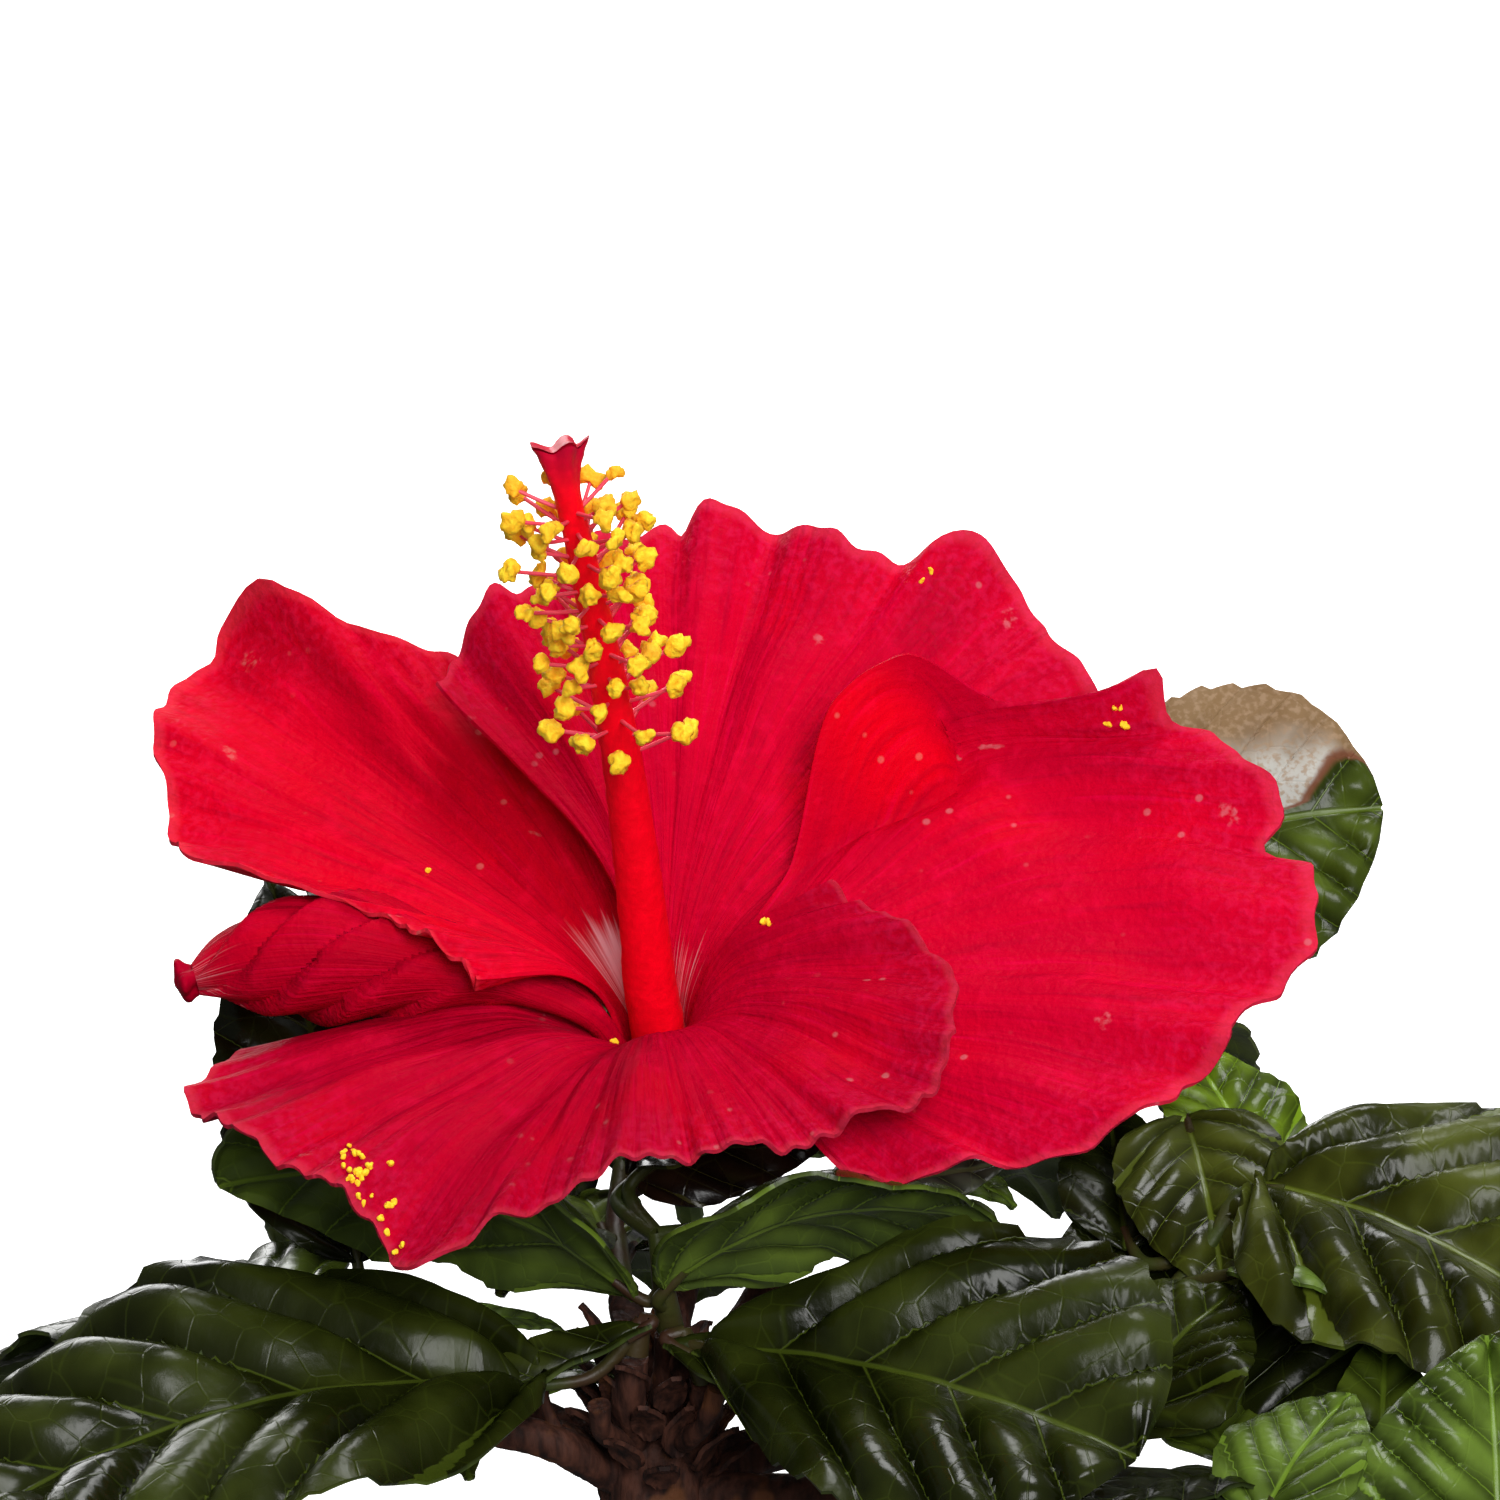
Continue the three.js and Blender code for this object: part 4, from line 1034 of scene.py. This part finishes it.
# %% Blade mesh
def blade(leaf):
    """A blade's points and faces, with the named values that its finish reads."""
    rows = round(np.clip(leaf["length"] * ROWS_PER_MM, 12, BLADE_ROWS))
    columns = 2 * round(np.clip(leaf["width"] * ROWS_PER_MM, 8, BLADE_COLUMNS) / 2)
    place = np.linspace(0, 1, rows + 1)
    _, right, up = blade_frame(leaf, place)
    across = np.linspace(-1, 1, columns + 1)[None]
    share = np.abs(across)
    place = place[:, None]
    breadth = blade_width(place, leaf["broadest"])
    half = np.maximum(leaf["width"] / 2 * breadth, BLADE_NARROWEST)
    saw = (place * leaf["teeth"]) % 1
    half = half * (1 - TOOTH_DEPTH * (1 - saw) * fade(0.1, 0.35, place) * share**8)
    fold, curl = radians(leaf["fold"]), radians(leaf["curl"])
    outward = half * (np.sin(fold + curl * share) - np.sin(fold)) / curl
    upward = half * (np.cos(fold) - np.cos(fold + curl * share)) / curl
    x, y = share * half, place * leaf["length"] + 0 * share
    phase = vein_phase(x, y, leaf, across < 0)
    seed = leaf["heading"] + 10 * leaf["length"]
    flat = np.stack([np.sign(across) * x, y, 0 * x + seed], axis=-1)
    height = upward + blade_relief(leaf, place, across, breadth, phase, flat)
    middle = midrib(leaf, rows)[:, None] + right[:, None] * (np.sign(across) * outward)[..., None]
    middle = middle + up[:, None] * height[..., None]
    points, faces = sheet(middle, leaf["blade"])
    size = middle[..., 0].size
    dead = leaf["blotch"] * fade(0, 0.12, -across) * (1 - fade(0.6, 0.85, place - 0.25 * share))
    values = both_faces(flat=flat, phase=phase, share=share + 0 * place, dead=dead)
    values["under"] = np.repeat([0.0, 1.0], size)
    values["tint"] = np.tile(TINTS[leaf["tint"]], (2 * size, 1))
    return points, faces, values


# %% [markdown]
# ## Where the leaves grow
#
# Each mass grows on from its bough's tip: a stem, leaves placed one by one where the crown has a
# form of its own, and a spray that a seeded rule deals out round the stem where it is just full.
# Four young leaves fill in close to each stem, but not in the three masses in front, where the
# fork of the trunk shows between the leaves.


# %% Masses of leaves
def leaf(at, foot, heading, rise, length, width, **rest):
    """One leaf: where its stalk leaves the stem, the foot of its blade, and how the blade lies."""
    return dict(HABIT, at=at, foot=foot, heading=heading, rise=rise, length=length, width=width, **rest)


MASSES = {
    "leaves_left": {
        "young": False,
        "stem": [[-2.2, -2.6, 56.8], [-1.4, -2.9, 60.4]],
        "leaves": [leaf(1, [-12, -5.6, 53.6], -163, 13, 68, 48, broadest=0.46, droop=45, roll=-14,
                        fold=13, quilt=0.07),
                   leaf(1, [-0.4, -4, 60.2], -171, -28, 23, 9, broadest=0.55, droop=-12,
                        roll=-10, fold=38)],
    },
    "leaves_under_bloom": {
        "young": False,
        "stem": [[1.5, 2.3, 57.8], [0.8, 0.6, 63], [0, 3, 68]],
        "leaves": [
            leaf(0.3, [0.9, -2, 63.6], -4, 44, 38.5, 29, broadest=0.42, droop=64, roll=-36,
                 fold=5, curl=-20, tint="fresh"),
            leaf(0.5, [-2.2, 0.4, 61.6], 163, 40, 50, 33, broadest=0.55, droop=60, roll=50,
                 fold=5, curl=-20, tint="fresh"),
            leaf(1, [-1.7, 11, 73.2], -22, 31, 26.5, 14, droop=30, roll=5, curl=-20, tint="brown"),
            leaf(1, [-3, 12, 71.5], 8, 22, 25, 13, droop=20, roll=50, fold=6, curl=-20, tint="brown"),
            leaf(1, [19, 8, 70], 3, 16, 19, 9, droop=8, roll=30, fold=8, curl=-40, tint="ash"),
        ],
    },
    "leaves_front_right": {
        "young": False,
        "stem": [[5.3, -2.4, 53.9], [3, -3.9, 59.4]],
        "leaves": [leaf(1, [4.5, -6, 58.4], -33, 10, 54, 44, broadest=0.66, droop=24, roll=30,
                        curl=-10, quilt=0.06),
                   leaf(1, [1, -5.2, 58.6], -20, -16, 15, 9, broadest=0.6, droop=6, roll=20, fold=30)],
    },
    "leaves_right": {
        "stem": [[44.9, 13.1, 50.3], [54, 17, 55], [62, 23, 63]],
        "leaves": [
            leaf(0.1, [49, 3.5, 45.6], 39, 54, 22, 26, droop=40, roll=10, **CUPPED),
            leaf(0.05, [35.5, 26, 49.6], 102, 48, 17, 18, droop=30, tint="shaded_deep", **CUPPED),
            leaf(0.3, [51.2, 18.5, 51.6], 104, 43, 17, 16, droop=10, tint="shaded_deep", **CUPPED),
            leaf(0.4, [62, 4.5, 44], 80, 47, 30, 34, droop=30, tint="shaded_deep", **CUPPED),
            leaf(0.8, [51, 24.5, 59.2], 93, 28, 25, 14, droop=10, tint="shaded_deep", **CUPPED),
            leaf(1, [58, 38, 70], -81, -17, 27, 20, droop=30, roll=10, tint="olive", **CUPPED),
            leaf(1, [66, 34, 63.5], 112, 41, 23, 17, droop=30, tint="lime", **CUPPED),
            leaf(0.9, [65.7, 24.4, 66.6], -34, 1, 54, 44, droop=38, roll=20, curl=-20, tint="olive",
                 quilt=0.07),
        ],
    },
    "leaves_right_low": {
        "stem": [[42.9, -5.1, 41], [58, -9, 42], [76, -11, 40]],
        "leaves": [
            leaf(0.3, [62.9, -8.9, 44], -140, 20, 26, 20, droop=30, roll=10, curl=-20, tint="shaded_deep"),
            leaf(0.6, [63.2, -24, 45.5], 52, 45, 19, 18, droop=30, tint="meadow", teeth=6, **CUPPED),
            leaf(0.9, [76.5, -9, 40.5], 84, 56, 23, 12, droop=20, tint="fresh", **CUPPED),
            leaf(1, [88, -25, 37], 95, 78, 28, 34, droop=24, tint="meadow", quilt=0.06, **CUPPED),
        ],
    },
    "leaves_back_right": {
        "stem": [[17.5, 25.1, 63.8], [28, 33, 75], [38, 40, 86]],
        "leaves": [leaf(1, [46.4, 44.7, 95], 5, 25, 34.5, 34, broadest=0.56, droop=24, roll=60,
                        fold=5, tint="fresh", blotch=1)],
        "spray": {"count": 4, "seed": 3, "middle": 78, "fan": 30, "rise": [-12, 12],
                  "length": 52, "stalk": 11},
    },
    "leaves_back": {
        "stem": [[-4.2, 35.7, 50.4], [-5, 47, 55], [-4, 56, 62]],
        "spray": {"count": 5, "seed": 11, "middle": 92, "fan": 48, "rise": [-15, 30],
                  "length": 54, "stalk": 10},
    },
    "leaves_back_left": {
        "stem": [[-23.7, 22.4, 45.1], [-31, 27, 46], [-37, 31, 46]],
        "leaves": [leaf(0.5, [-33, 27, 57], 112, 62, 46, 26, droop=20, fold=8, tint="shaded_deep")],
        "spray": {"count": 4, "seed": 5, "middle": 146, "fan": 34, "rise": [-12, 2],
                  "length": 50, "stalk": 9},
    },
    "leaves_left_low": {
        "stem": [[-20.8, 0.9, 47.8], [-28, 4, 47], [-34, 7, 44]],
        "spray": {"count": 3, "seed": 10, "middle": 174, "fan": 24, "rise": [-22, -5],
                  "length": 46, "stalk": 8},
    },
}

placed = sum(len(mass.get("leaves", [])) for mass in MASSES.values())
print("masses:", len(MASSES), "with", placed, "leaves placed one by one")


# %% The spray rule
def spray_leaves(stem, spray):
    """Leaves dealt out round a stem from its foot to its tip."""
    leaves = []
    for i in range(spray["count"]):
        chance = [scatter(spray["seed"] + 7 * i + k) for k in range(3)]
        share = (i * 0.618 + 0.5 * chance[0]) % 1
        heading = spray["middle"] + spray["fan"] * (2 * share - 1)
        place = (i + 1) / spray["count"]
        rise = spray["rise"][0] + (spray["rise"][1] - spray["rise"][0]) * place
        length = spray["length"] * (SPRAY["shortest"] + SPRAY["spread"] * chance[1])
        foot = along(stem, place) + direction(heading, rise) * spray["stalk"]
        tint = SPRAY["tints"][i % 4]
        leaves.append(leaf(place, foot, heading, rise, length, SPRAY["slim"] * length,
                           roll=SPRAY["roll"] * (chance[2] - 0.5), tint=tint))
    return leaves


def young_leaves(stem, seed):
    """Small fresh leaves round the foot of a stem."""
    leaves = []
    for i in range(YOUNG["count"]):
        chance = scatter(seed + 5 * i)
        heading = GOLDEN_ANGLE * (i + seed)
        place = (i + 0.5) / YOUNG["count"]
        length = YOUNG["length"] * (0.8 + 0.5 * chance)
        foot = along(stem, place) + direction(heading, YOUNG["rise"]) * 0.35 * length
        tint = YOUNG["tints"][(i + seed) % 3]
        leaves.append(leaf(place, foot, heading, YOUNG["rise"], length, YOUNG["slim"] * length,
                           droop=YOUNG["droop"], tint=tint, teeth=7, **CUPPED))
    return leaves


def stalk_path(leaf, stem):
    """A stalk bows out of its stem and runs into the foot of the blade along the midrib."""
    start, foot = along(stem, leaf["at"]), np.array(leaf["foot"], float)
    forward = blade_frame(leaf, 0)[0]
    knee = foot - forward * 0.3 * np.linalg.norm(foot - start)
    return [start, 0.75 * knee + 0.25 * start, foot + forward * 3]


back = MASSES["leaves_back"]
print("leaves in the spray at the back:", len(spray_leaves(back["stem"], back["spray"])))


# %% [markdown]
# ## The leaf's finish
#
# The upper face is dark and glossy, with yellow-green veins and a net of finer veins. Painted shade
# darkens the hollows beside the side veins, and painted light brightens the crests between them.
# The under face is paler and duller. One leaf is partly dead: papery and pale, with a brown rim
# where it meets the living part. The veins could be drawn as a picture, but drawn from the blade's
# own numbers they stay sharp at any size.


# %% Leaf finish
def draw_leaf(s):
    flat = s.read("flat", "Vector")
    x = s.node("ShaderNodeSeparateXYZ", inputs={0: flat}, output=0)
    phase, share = s.read("phase"), s.read("share")
    under, dead = s.read("under"), s.read("dead")
    near = abs((phase + 0.5).math("FRACT") - 0.5)
    side_vein = near.fade(0.008, 0.036 - share * 0.018, 1, 0)
    midrib = abs(x).fade(0.2, 0.55, 1, 0)
    net_place = {"Vector": s.stretch(flat, (0.22, 0.22, 0.22)), "Scale": 1.0}
    net = s.node("ShaderNodeTexVoronoi", {"feature": "DISTANCE_TO_EDGE"}, net_place)
    net_vein = net.fade(0.0, 0.035, 0.22, 0)
    vein = side_vein.math("MAXIMUM", midrib).math("MAXIMUM", net_vein)
    cloud = s.grain(flat, 0.09, detail=3)
    grain = s.grain(flat, 1.4, detail=3)
    tint = s.read("tint", "Vector")
    lit = s.scale(tint, cloud.fade(0.3, 0.7, 0.4, 1.5))
    # Painted shade: the colour is darkened in the hollows next to the side veins and lightened on the
    # crests between them.
    lit = s.scale(lit, near.fade(0.02, 0.4, 0.45, 1.1))
    pale = s.lighten(tint, (2.0, 2.2, 1.4), (0.035, 0.05, 0.005))
    colour = s.blend(vein * 0.5, lit, pale)
    dull = s.lighten(colour, (1.3, 1.3, 1.3), (0.02, 0.032, 0.008))
    colour = s.blend(under, colour, dull)
    papery = s.blend((share + cloud).fade(0.85, 1.3), (0.45, 0.44, 0.4), (0.2, 0.12, 0.055))
    papery = s.blend(grain.fade(0.45, 0.65, 0, 0.7), papery, (0.3, 0.2, 0.12))
    rot = dead + (cloud - 0.5) * 0.7
    colour = s.blend(rot.fade(0.3, 0.42), colour, (0.16, 0.06, 0.03))
    colour = s.blend(rot.fade(0.45, 0.6), colour, papery)
    height = grain * 0.15 - vein * 0.5 + net.fade(0.0, 0.5) * 0.35
    return {
        "Base Color": colour,
        "Roughness": cloud.fade(0.3, 0.7, 0.2, 0.36) + under * 0.2 + rot.fade(0.4, 0.5, 0, 0.3),
        "Normal": s.bump(height, 0.5, 0.0005),
    }


LEAF_GLOSS = {"Specular IOR Level": 0.15, "Coat Weight": 0.04, "Coat Roughness": 0.2}
leaf_finish = finish_of("glossy_leaf", draw_leaf, LEAF_GLOSS)


def draw_stalk(s):
    where = s.place()
    colour = s.blend(s.grain(where, 90).fade(0.35, 0.65), (0.035, 0.05, 0.008), (0.035, 0.014, 0.007))
    return {"Base Color": colour, "Normal": s.bump(s.grain(where, 900, detail=3), 0.4, 0.0003)}


stalk_finish = finish_of("green_stalk", draw_stalk, {"Roughness": 0.45, "Specular IOR Level": 0.25})

# %% Foliage in place
STEM_RADII, STALK_RADII = [1.5, 0.9], [0.95, 0.75, 0.6]

for seed, (name, mass) in enumerate(MASSES.items()):
    blades, stalks = Shape(), Shape()
    leaves = list(mass.get("leaves", []))
    if mass.get("young", True):
        leaves += young_leaves(mass["stem"], seed)
    if "spray" in mass:
        leaves += spray_leaves(mass["stem"], mass["spray"])
    stalks.add(*smooth_limb(mass["stem"], STEM_RADII, 14, 24))
    for each in leaves:
        points, faces, values = blade(each)
        blades.add(points, faces, **values)
        stalks.add(*smooth_limb(stalk_path(each, mass["stem"]), STALK_RADII, 10, 16))
    show(name + "_blades", blades.mesh(name, sharp=60), leaf_finish, "leaf", name)
    show(name + "_stalks", stalks.mesh(name + "_stalks"), stalk_finish, "leaf", name)

# %% [markdown]
# ## Trunk and boughs
#
# Young hibiscus wood is brown and finely ridged, with swollen knots where leaves have dropped,
# stubs where shoots broke off, and small scales round the fork. One mesh stands for the trunk and
# all the boughs. The ridges are in the mesh as well as in the finish, because the wood's outline
# shows them.

# %% Wood sizes
TRUNK_PATH = [[0, 0, 0], [0, 0, 2.5], [0.3, 1.2, 12], [-0.4, 3.5, 24], [0.2, 6, 35], [0, 8, 43],
              [0, 8.6, 47]]
TRUNK_RADII = [9.5, 8.4, 6.6, 5.9, 6.2, 6.6, 4.6]
BOUGHS = {
    "bough_bloom": ([[0.5, 10, 43], [1, 18, 51], [3.4, 26.2, 59]], [2.8, 2]),
    "bough_left": ([[-3, 6, 39], [-11, 0.5, 45.5], [-20, 0.8, 47.5]], [2.3, 1.8]),
    "bough_front_left": ([[-2, 5, 43], [-3, -0.5, 50], [-2.4, -2.2, 56]], [2.2, 1.6]),
    "bough_front": ([[0.5, 6, 45], [1.4, 4, 52], [1.5, 2.5, 57]], [2.1, 1.6]),
    "bough_front_right": ([[2.5, 5, 42], [5.2, 0, 49], [5.4, -2, 53]], [2.2, 1.6]),
    "bough_right_low": ([[3, 5, 38], [22, -1, 40], [42, -5, 41]], [2.6, 1.9]),
    "bough_right": ([[3, 8, 40], [24, 11, 44], [44, 13, 50]], [2.7, 1.9]),
    "bough_back_right": ([[3, 10, 42], [8, 17.5, 51], [17, 24.5, 63]], [2.2, 1.6]),
    "bough_back": ([[-0.5, 10, 38], [-2, 24, 45], [-4, 35, 50]], [2.5, 1.8]),
    "bough_back_left": ([[-3, 9, 39], [-13, 16, 43], [-23, 22, 45]], [2.4, 1.7]),
}
STUBS = [                       # where shoots broke off: each stub's path and its radii
    ([[-10.5, 1, 46], [-12, 0.3, 51], [-12.3, 0, 56.6]], [0.9, 0.6, 1.3]),
    ([[68, -13, 41], [69.3, -14.6, 44.6], [71.4, -13.2, 49.6]], [1.0, 1.3, 1.2]),
    ([[3, 0, 46], [5, -4, 49], [6.5, -6, 54]], [1.4, 1.0, 1.1]),
    ([[-3, 2, 45], [-5.5, -3, 48], [-6, -4.5, 51.5]], [1.5, 1.2, 1.3]),
]
SCALES = {"count": 34, "from": 40, "to": 54, "centre": 4.5, "radius": 5.2, "length": 7.5,
          "width": 4, "steepness": (55, 85)}
print("boughs:", len(BOUGHS), "stubs:", len(STUBS), "scales:", SCALES["count"])


# %% Bark relief
def bark(points):
    """Lengthwise ridges broken by noise, with a few swollen rings."""
    ridges = ripple(points * np.array([1, 1, 0.25]), 1.6)
    knots = fade(0.35, 0.7, ripple(points * np.array([0.3, 0.3, 1]), 3.2, seed=2))
    return 0.09 * ridges + 0.05 * ripple(points, 0.8, seed=1) + 0.14 * knots


def draw_bark(s):
    where = s.place()
    ridges = s.grain(s.stretch(where, (700, 700, 160)), 1.0, detail=4)
    patch = s.grain(where, 220, detail=2)
    colour = s.blend(ridges.fade(0.3, 0.7), (0.01, 0.003, 0.002), (0.065, 0.022, 0.013))
    colour = s.blend(patch.fade(0.58, 0.72, 0, 0.7), colour, (0.13, 0.045, 0.015))
    return {"Base Color": colour, "Normal": s.bump(ridges + patch * 0.5, 0.7, 0.0008)}


bark_finish = finish_of("brown_bark", draw_bark, {"Roughness": 0.75, "Specular IOR Level": 0.2})
wood = Shape()
points, faces = smooth_limb(TRUNK_PATH, TRUNK_RADII, 90, 99, bark)
points[:, 2] = np.maximum(points[:, 2], 0)          # the foot is cut flat at the ground
wood.add(points, faces)
for path, radii in BOUGHS.values():
    wood.add(*smooth_limb(path, radii, 28, 44, bark))
for path, radii in STUBS:
    wood.add(*smooth_limb(path, radii, 14, 20, bark))
for i in range(SCALES["count"]):
    turn = GOLDEN_ANGLE * i
    height = SCALES["from"] + i / SCALES["count"] * (SCALES["to"] - SCALES["from"])
    foot = [0, SCALES["centre"], height] + direction(turn, 0) * SCALES["radius"]
    low, high = SCALES["steepness"]
    rise = low + (high - low) * scatter(i)
    scale = leaf(0, foot, turn, rise, SCALES["length"], SCALES["width"], curl=-30)
    points, faces, _ = blade(scale)
    wood.add(points, faces)
show("bark", wood.mesh("bark", sharp=80), bark_finish, "bark", "trunk", *BOUGHS)

# %% [markdown]
# ## Calyx and flower stalk
#
# The green cup that holds the claws ends in five teeth. It is one sheet bent round, whose height
# follows a zigzag, so that the teeth need no cutting. The stalk keeps its shape and only takes the
# cup's finish.

# %% Calyx
CALYX = {"top": -11.5, "bottom": -27, "teeth": 5, "tooth": 4.5, "thickness": 0.6}
CUP_RADII = [1.9, 2.7, 3.4, 4.6, 5.5, 5.8, 5.9]


def cup_shape():
    """A cup whose rim runs up into teeth, as a closed sheet that meets itself."""
    turn = np.linspace(0, 2 * pi, 141)[None]
    rise = np.linspace(0, 1, 40)[:, None]
    tooth = 1 - np.abs(((CALYX["teeth"] * turn / (2 * pi) + 0.5) % 1) * 2 - 1)
    top = CALYX["top"] + CALYX["tooth"] * tooth
    height = CALYX["bottom"] + (top - CALYX["bottom"]) * rise
    radius = along(CUP_RADII, (height - CALYX["bottom"]) / (CALYX["top"] - CALYX["bottom"]))
    radius = radius + 0.9 * fade(CALYX["top"], CALYX["top"] + CALYX["tooth"], height) - 0.3
    radius = radius + 0.12 * np.cos(2 * CALYX["teeth"] * turn)
    return sheet(bloom_point(radius, -turn, height), CALYX["thickness"])


def draw_calyx(s):
    where = s.place()
    mottle = s.grain(where, 260, detail=3)
    colour = s.blend(mottle.fade(0.3, 0.7), (0.1, 0.16, 0.03), (0.2, 0.28, 0.06))
    return {"Base Color": colour, "Normal": s.bump(s.grain(where, 1200, detail=2), 0.4, 0.0003)}


calyx_finish = finish_of("downy_green", draw_calyx, {"Roughness": 0.6})
calyx = Shape()
calyx.add(*cup_shape())
show("green_calyx", calyx.mesh("calyx"), calyx_finish, "calyx", "calyx")
stalk_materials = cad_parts["pedicel"].data.materials
stalk_materials.clear()
stalk_materials.append(calyx_finish)

# %% [markdown]
# ## Last update
#
# The view layer is brought up to date once more.

# %% Update the view layer
bpy.context.view_layer.update()
